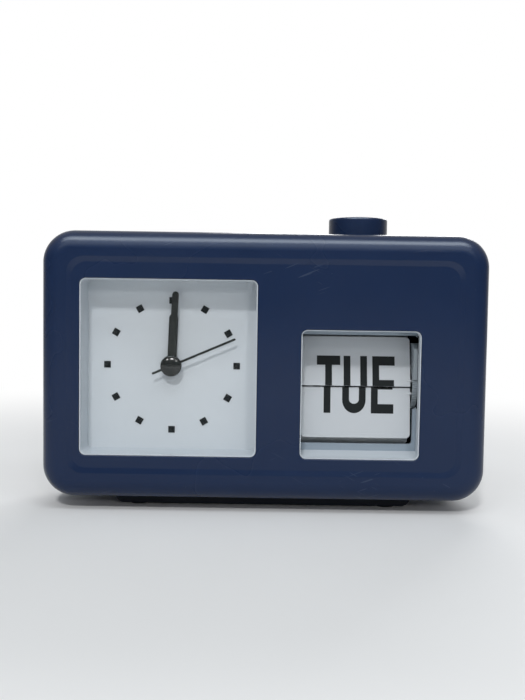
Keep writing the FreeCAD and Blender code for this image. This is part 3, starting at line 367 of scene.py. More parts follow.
class EdgeWear(EffectGroup):
    """A rub along hard edges, found where the rounded normal leaves the true one."""

    NAME = "edge_wear"
    INPUTS = (
        ("Vector", "NodeSocketVector", None),
        ("Colour", "NodeSocketColor", (0.5, 0.5, 0.5, 1.0)),
        ("Worn Colour", "NodeSocketColor", (0.8, 0.8, 0.8, 1.0)),
        ("Amount", "NodeSocketFloat", 0.3),
        ("Rounded", "NodeSocketVector", None),
    )
    OUTPUTS = (("Colour", "NodeSocketColor"),)
    EDGE_SPAN = (0.995, 0.86)
    BREAK_SCALE = 260.0
    BREAK_SPAN = (0.3, 0.7)

    @classmethod
    def wire(cls, board: Board, given: bpy.types.NodeOutputs) -> dict[str, bpy.types.NodeSocket]:
        """Compares the two normals and breaks the result up with noise.

        Args:
            board: The group's own board.
            given: The group's inputs, by name.

        Returns:
            Output name to the socket that feeds it.
        """
        true = board.add("ShaderNodeNewGeometry").outputs["Normal"]
        close = board.add("ShaderNodeVectorMath", {0: given["Rounded"], 1: true}, operation="DOT_PRODUCT")
        edge = board.ramp(close.outputs["Value"], cls.EDGE_SPAN)
        cloud = board.noise(given["Vector"], cls.BREAK_SCALE, detail=3.0, roughness=0.6)
        worn = board.math("MULTIPLY", edge, board.ramp(cloud, cls.BREAK_SPAN))
        mask = board.math("MULTIPLY", worn, given["Amount"], clamp=True)
        return {"Colour": board.tint(mask, given["Colour"], given["Worn Colour"])}


# ---- Finishes -----------------------------------------------------------------------------------
@dataclass(frozen=True)
class Finish:
    """One finish: what a material slot looks like close up.

    Grain, peel and mottle scales are noise scales per metre. Depth and edge are millimetres.
    """

    slot: str
    colour: Colour
    variant: str = ""
    roughness: float = 0.45
    metallic: float = 0.0
    specular: float = 0.5
    coat: float = 0.0
    coat_roughness: float = 0.12
    grain: float = 2600.0
    peel: float = 620.0
    peel_share: float = 0.5
    depth: float = 0.004
    mottle: float = 0.10
    mottle_scale: float = 60.0
    scratches: float = 0.0
    dust: float = 0.0
    mark_colour: Colour = (0.35, 0.38, 0.42)
    wear: float = 0.0
    worn_colour: Colour = (0.3, 0.33, 0.38)
    edge: float = 0.2
    edge_samples: int = 4

    def start(self, name: str) -> tuple[Board, bpy.types.Node, bpy.types.NodeSocket]:
        """Makes the empty material with its shader and output.

        Args:
            name: The material's name.

        Returns:
            Its board, its Principled shader and the socket of the Object coordinates.
        """
        board = bare_board(bpy.data.materials.new(name))
        shader = board.add("ShaderNodeBsdfPrincipled")
        board.add("ShaderNodeOutputMaterial", {"Surface": shader.outputs[0]})
        return board, shader, board.add("ShaderNodeTexCoord").outputs["Object"]

    def ground(self, board: Board, place: bpy.types.NodeSocket) -> object:
        """Returns the colour before mottling; a finish with a pattern overrides this."""
        return opaque(self.colour)

    def height(self, board: Board, place: bpy.types.NodeSocket) -> bpy.types.NodeSocket:
        """Returns the height pattern of the surface."""
        scales = {"Grain Scale": self.grain, "Peel Scale": self.peel, "Peel Share": self.peel_share}
        return MouldedGrain.place(board, {"Vector": place} | scales).outputs["Height"]

    def material(self) -> bpy.types.Material:
        """Makes the material on its first use.

        Returns:
            The material.
        """
        name = "finish_" + self.slot + self.variant
        if name not in bpy.data.materials:
            self.mix(name)
        return bpy.data.materials[name]

    def mix(self, name: str) -> None:
        """Wires the material.

        Args:
            name: The material's name.
        """
        board, shader, place = self.start(name)
        bevel = board.add("ShaderNodeBevel", {"Radius": self.edge * MM}, samples=self.edge_samples)
        rounded = bevel.outputs[0]
        values = {"Colour": self.ground(board, place), "Roughness": self.roughness}
        values |= {"Vector": place, "Scale": self.mottle_scale, "Amount": self.mottle}
        drift = Mottle.place(board, values)
        colour = drift.outputs["Colour"]
        if self.scratches > 0 or self.dust > 0:
            values = {"Vector": place, "Colour": colour, "Mark Colour": opaque(self.mark_colour)}
            values |= {"Scratches": self.scratches, "Dust": self.dust}
            colour = HandlingMarks.place(board, values).outputs["Colour"]
        if self.wear > 0:
            values = {"Vector": place, "Colour": colour, "Worn Colour": opaque(self.worn_colour)}
            values |= {"Amount": self.wear, "Rounded": rounded}
            colour = EdgeWear.place(board, values).outputs["Colour"]
        values = {"Height": self.height(board, place), "Distance": self.depth * MM, "Normal": rounded}
        bump = board.add("ShaderNodeBump", {"Strength": 1.0} | values)
        board.set(
            shader,
            {
                "Base Color": colour,
                "Roughness": drift.outputs["Roughness"],
                "Normal": bump.outputs[0],
                "Metallic": self.metallic,
                "Specular IOR Level": self.specular,
                "Coat Weight": self.coat,
                "Coat Roughness": self.coat_roughness,
            },
        )

    def on(self, *objects: bpy.types.Object) -> None:
        """Dresses objects in this finish through their material slots.

        Args:
            objects: What is dressed.
        """
        for obj in objects:
            if not obj.material_slots:
                obj.data.materials.append(None)
            for place in obj.material_slots:
                place.material = self.material()


@dataclass(frozen=True)
class ClearPane(Finish):
    """A thin clear window that lets the lamps through."""

    alpha: float = 0.045
    alpha_swing: float = 0.2
    alpha_scale: float = 20.0
    alpha_span: Span = (0.3, 0.7)
    smear_scale: float = 45.0
    smear_span: Span = (0.35, 0.75)
    smear_roughness: Span = (0.03, 0.16)

    def mix(self, name: str) -> None:
        """Wires the see-through material, uneven in gloss and in how much it veils.

        Args:
            name: The material's name.
        """
        board, shader, place = self.start(name)
        smear = board.noise(place, self.smear_scale, detail=3.0)
        veil = board.noise(place, self.alpha_scale)
        thin, dense = self.alpha * (1.0 - self.alpha_swing), self.alpha * (1.0 + self.alpha_swing)
        board.set(
            shader,
            {
                "Base Color": opaque(self.colour),
                "Roughness": board.ramp(smear, self.smear_span, *self.smear_roughness),
                "Alpha": board.ramp(veil, self.alpha_span, thin, dense),
            },
        )


@dataclass(frozen=True)
class DrawnMetal(Finish):
    """Metal with fine lines drawn along one axis."""

    along: tuple[float, float, float] = (60.0, 60.0, 2400.0)

    def height(self, board: Board, place: bpy.types.NodeSocket) -> bpy.types.NodeSocket:
        """Stretches a noise into lines.

        Args:
            board: The material's board.
            place: The socket of the Object coordinates.

        Returns:
            The socket of the height.
        """
        laid = board.add("ShaderNodeMapping", {"Vector": place, "Scale": self.along}).outputs[0]
        return board.noise(laid, 1.0, detail=3.0, roughness=0.6)


@dataclass(frozen=True)
class WoundWire(Finish):
    """Enamelled wire in bands across X."""

    # how far the band texture's phase runs, in radians, over one unit of scaled length
    BAND_PHASE = 20.0
    pitch: float = 1.3823
    unevenness: float = 0.4

    def height(self, board: Board, place: bpy.types.NodeSocket) -> bpy.types.NodeSocket:
        """Lays round bands side by side.

        Args:
            board: The material's board.
            place: The socket of the Object coordinates.

        Returns:
            The socket of the height.
        """
        scale = math.tau / (self.BAND_PHASE * self.pitch * MM)
        values = {"Vector": place, "Scale": scale, "Distortion": self.unevenness}
        return board.add("ShaderNodeTexWave", values).outputs[1]


@dataclass(frozen=True)
class CellWrap(Finish):
    """The plain printed film of a battery: a dark body with a warm band at the positive end."""

    band_colour: Colour = (0.55, 0.24, 0.06)
    cap_colour: Colour = (0.55, 0.55, 0.56)
    band_from: float = -27.5
    cap_from: float = -15.0

    def ground(self, board: Board, place: bpy.types.NodeSocket) -> object:
        """Changes colour along X at the band and at the bare cap.

        Args:
            board: The material's board.
            place: The socket of the Object coordinates.

        Returns:
            The socket of the colour.
        """
        x = board.add("ShaderNodeSeparateXYZ", {0: place}).outputs[0]
        band = board.math("GREATER_THAN", x, self.band_from * MM)
        cap = board.math("GREATER_THAN", x, self.cap_from * MM)
        colour = board.tint(band, opaque(self.colour), opaque(self.band_colour))
        return board.tint(cap, colour, opaque(self.cap_colour))


@dataclass(frozen=True)
class WellLiner(Finish):
    """The white inner moulding, with painted shade on its plate behind the day cards."""

    # painted shade: the plate behind the cards is darkened as if it lay in their shadow
    plate_shade_colour: Colour = (0.30, 0.36, 0.42)
    plate_from: float = -14.25

    def ground(self, board: Board, place: bpy.types.NodeSocket) -> object:
        """Paints shade on the plate behind the day cards: a darker colour behind the plate's front, to the
        right of the dial.

        Args:
            board: The material's board.
            place: The socket of the Object coordinates.

        Returns:
            The socket of the colour.
        """
        x, y, _ = board.add("ShaderNodeSeparateXYZ", {0: place}).outputs
        behind = board.math("GREATER_THAN", y, self.plate_from * MM)
        # painted shade mask: behind the plate's front and to the right of the dial
        plate = board.math("MULTIPLY", behind, board.math("GREATER_THAN", x, 0.0))
        return board.tint(plate, opaque(self.colour), opaque(self.plate_shade_colour))


@dataclass(frozen=True)
class BoardLacquer(Finish):
    """Green lacquer over copper tracks."""

    track_colour: Colour = (0.08, 0.30, 0.12)
    track_scale: float = 260.0
    track_width: float = 0.03

    def ground(self, board: Board, place: bpy.types.NodeSocket) -> object:
        """Shows straight tracks as a lighter green.

        Args:
            board: The material's board.
            place: The socket of the Object coordinates.

        Returns:
            The socket of the colour.
        """
        values = {"Vector": place, "Scale": self.track_scale, "Mortar Size": self.track_width}
        tracks = board.add("ShaderNodeTexBrick", values).outputs["Fac"]
        return board.tint(tracks, opaque(self.colour), opaque(self.track_colour))


class Palette(Enum):
    """Every finish on the clock."""

    NAVY = Finish(
        "navy_plastic", (0.0045, 0.0158, 0.053), roughness=0.27, specular=0.32, grain=1100.0, peel=480.0,
        depth=0.020, mottle=0.16, mottle_scale=46.0, scratches=0.18, dust=0.20,
        mark_colour=(0.12, 0.15, 0.21), wear=0.18, worn_colour=(0.05, 0.075, 0.14), edge=0.35,
    )
    BUTTON = replace(
        NAVY, variant="_button", peel=560.0, depth=0.010, scratches=0.2, dust=0.15, wear=0.25, edge=0.8,
    )
    # the foot's own dark navy, made darker still as painted shade for the shade it stands in under the
    # overhanging shell
    DARK_NAVY = Finish(
        "dark_navy_plastic", (0.003, 0.006, 0.012), roughness=0.55, specular=0.25, depth=0.010, mottle=0.2,
        dust=0.3, mark_colour=(0.10, 0.11, 0.14), wear=0.2, worn_colour=(0.03, 0.04, 0.07), edge=0.3,
    )
    # the white liner, with painted shade on its plate behind the day cards
    WHITE = WellLiner(
        "white_plastic", (0.60, 0.645, 0.69), roughness=0.42, depth=0.004, mottle=0.03, mottle_scale=40.0,
        dust=0.10, mark_colour=(0.32, 0.33, 0.34), edge=0.15,
    )
    DIAL = Finish(
        "dial_white", (0.64, 0.685, 0.72), roughness=0.55, depth=0.002, mottle=0.025, mottle_scale=30.0,
        dust=0.08, mark_colour=(0.35, 0.35, 0.36), edge=0.1,
    )
    CARD = Finish(
        "card_white", (0.60, 0.63, 0.66), roughness=0.33, grain=1800.0, peel=300.0, peel_share=0.7,
        depth=0.003, mottle=0.03, mottle_scale=50.0, dust=0.10, mark_colour=(0.34, 0.34, 0.35), edge=0.12,
    )
    PRINT = Finish(
        "print_black", (0.008, 0.011, 0.012), roughness=0.45, specular=0.35, depth=0.002, mottle=0.25,
        mottle_scale=120.0, edge=0.03,
    )
    HAND = Finish(
        "hand_black", (0.019, 0.023, 0.021), roughness=0.36, grain=3200.0, depth=0.003, mottle=0.2,
        dust=0.35, mark_colour=(0.2, 0.21, 0.21), edge=0.08,
    )
    CAP = replace(
        HAND, colour=(0.010, 0.013, 0.012), variant="_cap", roughness=0.09, dust=0.3,
        mark_colour=(0.25, 0.26, 0.26), coat=0.4,
    )
    BLACK = Finish(
        "black_plastic", (0.009, 0.010, 0.011), roughness=0.5, specular=0.3, depth=0.010, mottle=0.2,
        wear=0.15, worn_colour=(0.10, 0.10, 0.10), edge=0.2,
    )
    GREY = Finish(
        "grey_plastic", (0.30, 0.34, 0.37), roughness=0.45, depth=0.006, mottle=0.08, wear=0.15,
        worn_colour=(0.55, 0.58, 0.60), edge=0.12,
    )
    IVORY = Finish("ivory_plastic", (0.66, 0.62, 0.52), roughness=0.4, depth=0.003, mottle=0.06, edge=0.05)
    RUBBER = Finish(
        "black_rubber", (0.018, 0.018, 0.019), roughness=0.8, specular=0.3, grain=1500.0, depth=0.02,
        mottle=0.3, dust=0.5, mark_colour=(0.12, 0.11, 0.10), edge=0.3,
    )
    ZINC = DrawnMetal(
        "zinc_steel", (0.50, 0.50, 0.49), roughness=0.34, metallic=1.0, depth=0.002, mottle=0.12, edge=0.08,
    )
    SPRING = replace(
        ZINC, slot="spring_steel", colour=(0.56, 0.56, 0.57), roughness=0.26, mottle=0.10, edge=0.05,
    )
    MAGNET = Finish("dark_magnet", (0.20, 0.20, 0.21), roughness=0.42, metallic=0.9, depth=0.006, edge=0.05)
    BRASS = DrawnMetal("brass", (0.72, 0.50, 0.20), roughness=0.28, metallic=1.0, depth=0.002, edge=0.05)
    COPPER = WoundWire("copper_wire", (0.55, 0.20, 0.08), roughness=0.3, metallic=0.9, depth=0.08, edge=0.05)
    BOARD = BoardLacquer("board_green", (0.02, 0.13, 0.05), roughness=0.3, depth=0.002, edge=0.05)
    CELL = CellWrap(
        "battery_wrap", (0.045, 0.045, 0.05), roughness=0.28, metallic=0.3, depth=0.002, mottle=0.08,
        scratches=0.2, mark_colour=(0.4, 0.4, 0.4), edge=0.4,
    )
    PANE = ClearPane("clear_pane", (0.03, 0.035, 0.04))


# ---- Workbench ----------------------------------------------------------------------------------
class Workpiece:
    """One mesh on the bench, shaped with Blender's own tools."""

    AXIS_TURNS = {"X": (0.0, math.pi / 2, 0.0), "Y": (math.pi / 2, 0.0, 0.0)}

    def __init__(self, name: str, add: Callable[..., object], **arguments: object) -> None:
        """Adds a primitive and names it.

        Args:
            name: The piece's name.
            add: The operator that adds the primitive.
            arguments: Where it stands and how large it is.
        """
        bpy.ops.object.select_all(action="DESELECT")
        add(**arguments)
        self.obj = bpy.context.object
        self.obj.name = name
        self.obj.data.name = name

    @classmethod
    def block(cls, name: str, low: Sequence[float], high: Sequence[float]) -> Workpiece:
        """Adds a box.

        Args:
            name: The piece's name.
            low: Its lowest corner, in millimetres.
            high: Its highest corner.

        Returns:
            The box.
        """
        middle = [(a + b) / 2 * MM for a, b in zip(low, high)]
        piece = cls(name, bpy.ops.mesh.primitive_cube_add, size=1.0, location=middle)
        piece.obj.scale = [(b - a) * MM for a, b in zip(low, high)]
        piece.settle()
        return piece

    @classmethod
    def disc(
        cls, name: str, centre: Sequence[float], radius: float, thick: float, axis: str, sides: int
    ) -> Workpiece:
        """Adds a cylinder.

        Args:
            name: The piece's name.
            centre: Its middle, in millimetres.
            radius: Its radius.
            thick: Its length along the axis.
            axis: X or Y.
            sides: How many flats its rim has.

        Returns:
            The cylinder.
        """
        piece = cls(
            name, bpy.ops.mesh.primitive_cylinder_add, vertices=sides, radius=radius * MM, depth=thick * MM,
            location=[c * MM for c in centre], rotation=cls.AXIS_TURNS[axis],
        )
        piece.settle()
        return piece

    @classmethod
    def ribbon(
        cls, name: str, path: Sequence[Point], width: float, thick: float, closed: bool = False
    ) -> Workpiece:
        """Adds a flat stroke of even width along a path in the XZ plane.

        Args:
            name: The piece's name.
            path: The points of its centre line, in millimetres.
            width: Its width.
            thick: Its thickness, from the plane towards +Y.
            closed: Whether the path ends where it starts.

        Returns:
            The stroke.
        """
        start = Vector((path[0][0], 0.0, path[0][1])) * MM
        piece = cls(name, bpy.ops.mesh.primitive_plane_add, size=MM, location=start)
        piece.settle()
        piece.edit("VERT", everything=True)
        bpy.ops.mesh.merge(type="CENTER")
        for (x0, z0), (x1, z1) in zip(path, path[1:]):
            step = (Vector((x1 - x0, 0.0, z1 - z0)) * MM)[:]
            bpy.ops.mesh.extrude_region_move(TRANSFORM_OT_translate={"value": step})
        bpy.ops.mesh.select_all(action="SELECT")
        if closed:
            bpy.ops.mesh.remove_doubles(threshold=WELD)
            bpy.ops.mesh.select_all(action="SELECT")
        bpy.ops.mesh.extrude_region_move(TRANSFORM_OT_translate={"value": (0.0, thick * MM, 0.0)})
        bpy.ops.mesh.select_all(action="SELECT")
        bpy.ops.mesh.normals_make_consistent(inside=False)
        piece.done()
        piece.modify(
            "SOLIDIFY", thickness=width * MM, offset=0.0, use_even_offset=True, use_quality_normals=True,
        )
        piece.face_out()
        return piece

    def hold(self) -> None:
        """Makes this the one selected and active object."""
        bpy.ops.object.select_all(action="DESELECT")
        self.obj.select_set(True)
        bpy.context.view_layer.objects.active = self.obj

    def settle(self) -> None:
        """Puts the object's place into its mesh."""
        self.hold()
        bpy.ops.object.transform_apply(location=True, rotation=True, scale=True)

    def move(self, x: float, y: float, z: float, turn: float = 0.0) -> None:
        """Turns the piece about the X axis, then moves it.

        Args:
            x: How far it goes along X, in millimetres.
            y: How far along Y.
            z: How far along Z.
            turn: The angle, in radians.
        """
        self.obj.rotation_euler = (turn, 0.0, 0.0)
        self.obj.location = (x * MM, y * MM, z * MM)
        self.settle()

    def edit(self, kind: str = "FACE", everything: bool = False) -> bmesh.types.BMesh:
        """Opens edit mode.

        Args:
            kind: What is selected there: VERT, EDGE or FACE.
            everything: Whether all of it is selected to start with, or none.

        Returns:
            The edit mesh.
        """
        self.hold()
        bpy.ops.object.mode_set(mode="EDIT")
        bpy.ops.mesh.select_mode(type=kind)
        bpy.ops.mesh.select_all(action="SELECT" if everything else "DESELECT")
        return bmesh.from_edit_mesh(self.obj.data)

    def pick(self, test: Callable[[Vector, Vector], bool]) -> None:
        """Opens edit mode with some faces selected.

        Args:
            test: Takes a face's centre, in millimetres, and its normal.
        """
        mesh = self.edit()
        for face in mesh.faces:
            face.select_set(test(face.calc_center_median() / MM, face.normal))
        bmesh.update_edit_mesh(self.obj.data)

    def pick_points(self, test: Callable[[Vector], bool]) -> None:
        """Opens edit mode with some vertices selected.

        Args:
            test: Takes a vertex's place, in millimetres.
        """
        mesh = self.edit("VERT")
        for vertex in mesh.verts:
            vertex.select_set(test(vertex.co / MM))
        mesh.select_flush(True)
        bmesh.update_edit_mesh(self.obj.data)

    def done(self) -> None:
        """Leaves edit mode."""
        bpy.ops.object.mode_set(mode="OBJECT")

    def modify(self, kind: str, **settings: object) -> None:
        """Adds a modifier and applies it.

        Args:
            kind: The modifier's type.
            settings: Its properties.
        """
        self.hold()
        modifier = self.obj.modifiers.new(kind.title(), kind)
        for name, value in settings.items():
            setattr(modifier, name, value)
        bpy.ops.object.modifier_apply(modifier=modifier.name)

    def face_out(self) -> None:
        """Merges doubles and turns every face outwards."""
        self.edit(everything=True)
        bpy.ops.mesh.remove_doubles(threshold=WELD)
        bpy.ops.mesh.normals_make_consistent(inside=False)
        self.done()

    def halve(self, at: Vector, normal: Vector) -> None:
        """Cuts the piece by a plane and closes the cut.

        Args:
            at: A point of the plane, in metres.
            normal: The way to the side that goes.
        """
        self.edit(everything=True)
        bpy.ops.mesh.bisect(plane_co=at[:], plane_no=normal[:], use_fill=True, clear_outer=True)
        self.done()

    def mend(self) -> None:
        """Drops doubled points, doubled faces and slivers, and turns every face outwards."""
        self.obj.data.validate()
        self.edit(everything=True)
        bpy.ops.mesh.remove_doubles(threshold=SLIVER)
        bpy.ops.mesh.dissolve_degenerate(threshold=SLIVER)
        bpy.ops.mesh.select_all(action="SELECT")
        bpy.ops.mesh.fill_holes(sides=0)
        bpy.ops.mesh.normals_make_consistent(inside=False)
        self.done()
        self.obj.data.validate()

    def smooth(self, degrees: float = 35.0) -> None:
        """Shades smooth below this angle."""
        self.hold()
        bpy.ops.object.shade_smooth_by_angle(angle=math.radians(degrees))

    def copy(self, name: str) -> Workpiece:
        """Makes a second piece with its own mesh.

        Args:
            name: The second piece's name.

        Returns:
            The second piece.
        """
        self.hold()
        bpy.ops.object.duplicate(linked=False)
        twin = object.__new__(Workpiece)
        twin.obj = bpy.context.object
        twin.obj.name = name
        twin.obj.data.name = name
        return twin

    def take(self, others: Iterable[Workpiece]) -> None:
        """Joins other pieces into this one.

        Args:
            others: The pieces, which are gone afterwards.
        """
        self.hold()
        for other in others:
            other.obj.select_set(True)
        bpy.ops.object.join()

    def unite(self, other: Workpiece) -> None:
        """Melts another piece into this one, so that no face is left where they cross."""
        self.modify("BOOLEAN", operation="UNION", solver="EXACT", object=other.obj)
        bpy.data.objects.remove(other.obj)

    def fit(self, body: str, finish: Finish, replaces: Sequence[str] = ()) -> bpy.types.Object:
        """Finishes the piece: dresses it and lets it ride on its body.

        Args:
            body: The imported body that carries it.
            finish: Its finish.
            replaces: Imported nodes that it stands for.

        Returns:
            The finished object.
        """
        finish.on(self.obj)
        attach(self.obj, body)
        if replaces:
            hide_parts(*replaces)
        LOG.info("%s rides on %s, %d faces", self.obj.name, body, len(self.obj.data.polygons))
        return self.obj


def dress(frame: dict, finish: Finish, *nodes: str) -> None:
    """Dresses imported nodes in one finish.

    Args:
        frame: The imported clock.
        finish: The finish.
        nodes: The nodes' names.
    """
    for node in nodes:
        finish.on(frame["nodes"][node])
        LOG.info("%s is dressed as %s", node, finish.slot)


def arc(cx: float, cz: float, rx: float, rz: float, start: float, end: float, steps: int) -> list[Point]:
    """Points along an ellipse between two angles in degrees, anticlockwise from +X."""
    turn = [math.radians(start + (end - start) * k / steps) for k in range(steps + 1)]
    return [(cx + rx * math.cos(a), cz + rz * math.sin(a)) for a in turn]


# ---- Lettering ----------------------------------------------------------------------------------
class Day(Enum):
    """The days, in the order of the cards."""

    TUESDAY = "TUE"
    WEDNESDAY = "WED"
    THURSDAY = "THU"
    FRIDAY = "FRI"
    SATURDAY = "SAT"
    SUNDAY = "SUN"
    MONDAY = "MON"


@dataclass
class LetterCutter:
    """Cuts plain condensed capitals whose level strokes are heavier than their upright ones.

    A letter is drawn with one stroke width in a wide cell and then narrowed.
    """

    # the letters that are one line which closes on itself
    LOOPS = ("D", "O")
    height: float = 23.8
    stroke: float = 3.9
    narrowing: float = 0.72
    thick: float = 0.05
    trim: float = 0.02
    usual_width: float = 9.7
    bowl: float = 0.18
    widths: dict[str, float] = field(
        default_factory=lambda: {"I": 2.6, "W": 13.4, "M": 11.6, "E": 9.3, "F": 9.0}
    )
    kerning: dict[str, float] = field(default_factory=lambda: {"TU": -0.4, "UE": 0.4})
    made: dict[str, Workpiece] = field(default_factory=dict)

    def width(self, letter: str) -> float:
        """The letter's width."""
        return self.widths.get(letter, self.usual_width)

    def strokes(self, letter: str) -> list[list[Point]]:
        """Draws the centre lines of a letter in a cell of 0 to 1 each way.

        Args:
            letter: One of the capitals that the days need.

        Returns:
            The points of each stroke.
        """
        lines: dict[str, list[list[Point]]] = {
            "T": [[(0, 1), (1, 1)], [(0.5, 1), (0.5, 0)]],
            "U": [[(0, 1), *arc(0.5, self.bowl, 0.5, self.bowl, 180, 360, 14), (1, 1)]],
            "E": [[(1, 1), (0, 1), (0, 0), (1, 0)], [(0, 0.5), (0.94, 0.5)]],
            "F": [[(1, 1), (0, 1), (0, 0)], [(0, 0.5), (0.9, 0.5)]],
            "H": [[(0, 0), (0, 1)], [(1, 0), (1, 1)], [(0, 0.5), (1, 0.5)]],
            "I": [[(0.5, 0), (0.5, 1)]],
            "N": [[(0, 0), (0, 1)], [(0, 1), (1, 0)], [(1, 0), (1, 1)]],
            "M": [[(0, 0), (0, 1)], [(0.02, 1), (0.5, 0.25), (0.98, 1)], [(1, 1), (1, 0)]],
            "W": [[(0, 1), (0.25, 0), (0.5, 0.85), (0.75, 0), (1, 1)]],
            "A": [[(0, 0), (0.5, 1), (1, 0)], [(0.16, 0.3), (0.84, 0.3)]],
            "D": [
                [(0, 0), (0, 1), *arc(0.45, 0.7, 0.55, 0.3, 90, 0, 8), *arc(0.45, 0.3, 0.55, 0.3, 0, -90, 8)],
            ],
            "R": [
                [(0, 0), (0, 1)],
                [(0, 1), *arc(0.6, 0.76, 0.4, 0.24, 90, -90, 12), (0, 0.52)],
                [(0.5, 0.52), (1, 0)],
            ],
            "O": [[*arc(0.5, 0.7, 0.5, 0.3, 180, 0, 14), *arc(0.5, 0.3, 0.5, 0.3, 0, -180, 14)]],
            "S": [[*arc(0.5, 0.75, 0.5, 0.25, 20, 270, 16), *arc(0.5, 0.25, 0.5, 0.25, 90, -160, 16)[1:]]],
        }
        return lines[letter]

    def cut(self, letter: str) -> Workpiece:
        """Makes a letter on its first use, its lower left corner at the origin.

        Args:
            letter: The capital.

        Returns:
            The letter, to be copied.
        """
        if letter in self.made:
            return self.made[letter]
        half = self.stroke / 2
        wide = self.width(letter) / self.narrowing
        closed = letter in self.LOOPS
        pieces = []
        for number, points in enumerate(self.strokes(letter)):
            room_x, room_z = wide - self.stroke, self.height - self.stroke
            path = [(half + x * room_x, half + z * room_z) for x, z in points]
            path = [*path, path[0]] if closed else self.lengthen(path, half)
            name = f"stroke_{letter}_{number}"
            pieces.append(Workpiece.ribbon(name, path, self.stroke, self.thick, closed))
        whole = pieces[0]
        for stroke in pieces[1:]:
            whole.unite(stroke)
        low = Vector((self.trim * MM, 0.0, self.trim * MM))
        high = Vector((wide - self.trim, 0.0, self.height - self.trim)) * MM
        for corner, way in ((high, 1.0), (low, -1.0)):
            for axis in (Vector((0.0, 0.0, 1.0)), Vector((1.0, 0.0, 0.0))):
                whole.halve(corner, axis * way)
        whole.obj.scale = (self.narrowing, 1.0, 1.0)
        whole.settle()
        whole.mend()
        whole.obj.name = f"letter_{letter}"
        self.made[letter] = whole
        return whole

    @staticmethod
    def lengthen(path: list[Point], by: float) -> list[Point]:
        """Carries both ends of a path on.

        Args:
            path: The path's points.
            by: How much longer each end gets.

        Returns:
            The longer path.
        """
        out = list(path)
        for end, near in ((0, 1), (-1, -2)):
            ex, ez = path[end]
            nx, nz = path[near]
            run = math.hypot(ex - nx, ez - nz)
            out[end] = (ex + (ex - nx) / run * by, ez + (ez - nz) / run * by)
        return out

    def word(self, name: str, text: str, gap: float) -> Workpiece:
        """Sets a word, centred on x = 0 and with its middle height at z = 0.

        Args:
            name: The piece's name.
            text: The letters.
            gap: The space between two letters.

        Returns:
            The word as one piece.
        """
        total = sum(self.width(c) for c in text) + gap * (len(text) - 1)
        x = -total / 2
        letters = []
        for number, character in enumerate(text):
            letter = self.cut(character).copy(f"{name}_{number}")
            letter.move(x, 0.0, -self.height / 2)
            letters.append(letter)
            x += self.width(character) + gap + self.kerning.get(text[number:number + 2], 0.0)
        whole = letters[0]
        if len(letters) > 1:
            whole.take(letters[1:])
        whole.obj.name = name
        return whole

    def tidy(self) -> None:
        """Clears the cut letters off the bench."""
        for piece in self.made.values():
            bpy.data.objects.remove(piece.obj)
        self.made.clear()


# ---- Sub-assemblies -----------------------------------------------------------------------------
@dataclass
class Case:
    """The two-part shell, its foot and its inner moulding."""

    frame: dict
    knob_x: float = -38.7
    knob_z: float = 68.4
    back_y: float = 23.0
    mark_radius: float = 10.6
    mark_sweep: Span = (35.0, 145.0)
    mark_steps: int = 20
    mark_stroke: float = 0.9
    mark_raise: float = 0.25
    barb_length: float = 2.0
    barb_spread: float = 2.5

    def build(self) -> None:
        """Dresses the shell and adds the raised marks on its back."""
        dress(self.frame, Palette.NAVY.value, "front_bezel", "rear_housing")
        # the foot gets its dark navy with painted shade
        dress(self.frame, Palette.DARK_NAVY.value, "base_foot")
        dress(self.frame, Palette.WHITE.value, "inner_frame")
        dress(self.frame, Palette.RUBBER.value, "rubber_pads")
        dress(self.frame, Palette.ZINC.value, "case_screws", "foot_screws")
        self.turn_arrow()

    def turn_arrow(self) -> None:
        """Raises a curved double arrow round the setting knob."""
        radius = self.mark_radius
        sweep = arc(self.knob_x, self.knob_z, radius, radius, *self.mark_sweep, self.mark_steps)
        arrow = Workpiece.ribbon("knob_arrow", sweep, self.mark_stroke, self.mark_raise)
        barbs = []
        for (x, z), (near_x, near_z) in ((sweep[0], sweep[1]), (sweep[-1], sweep[-2])):
            ahead = math.atan2(z - near_z, x - near_x)
            left, right = (
                (x + self.barb_length * math.cos(way), z + self.barb_length * math.sin(way))
                for way in (ahead + self.barb_spread, ahead - self.barb_spread)
            )
            path = [left, (x, z), right]
            barbs.append(Workpiece.ribbon("knob_barb", path, self.mark_stroke, self.mark_raise))
        arrow.take(barbs)
        arrow.move(0.0, self.back_y - SINK, 0.0)
        arrow.smooth()
        arrow.fit("case", Palette.NAVY.value)


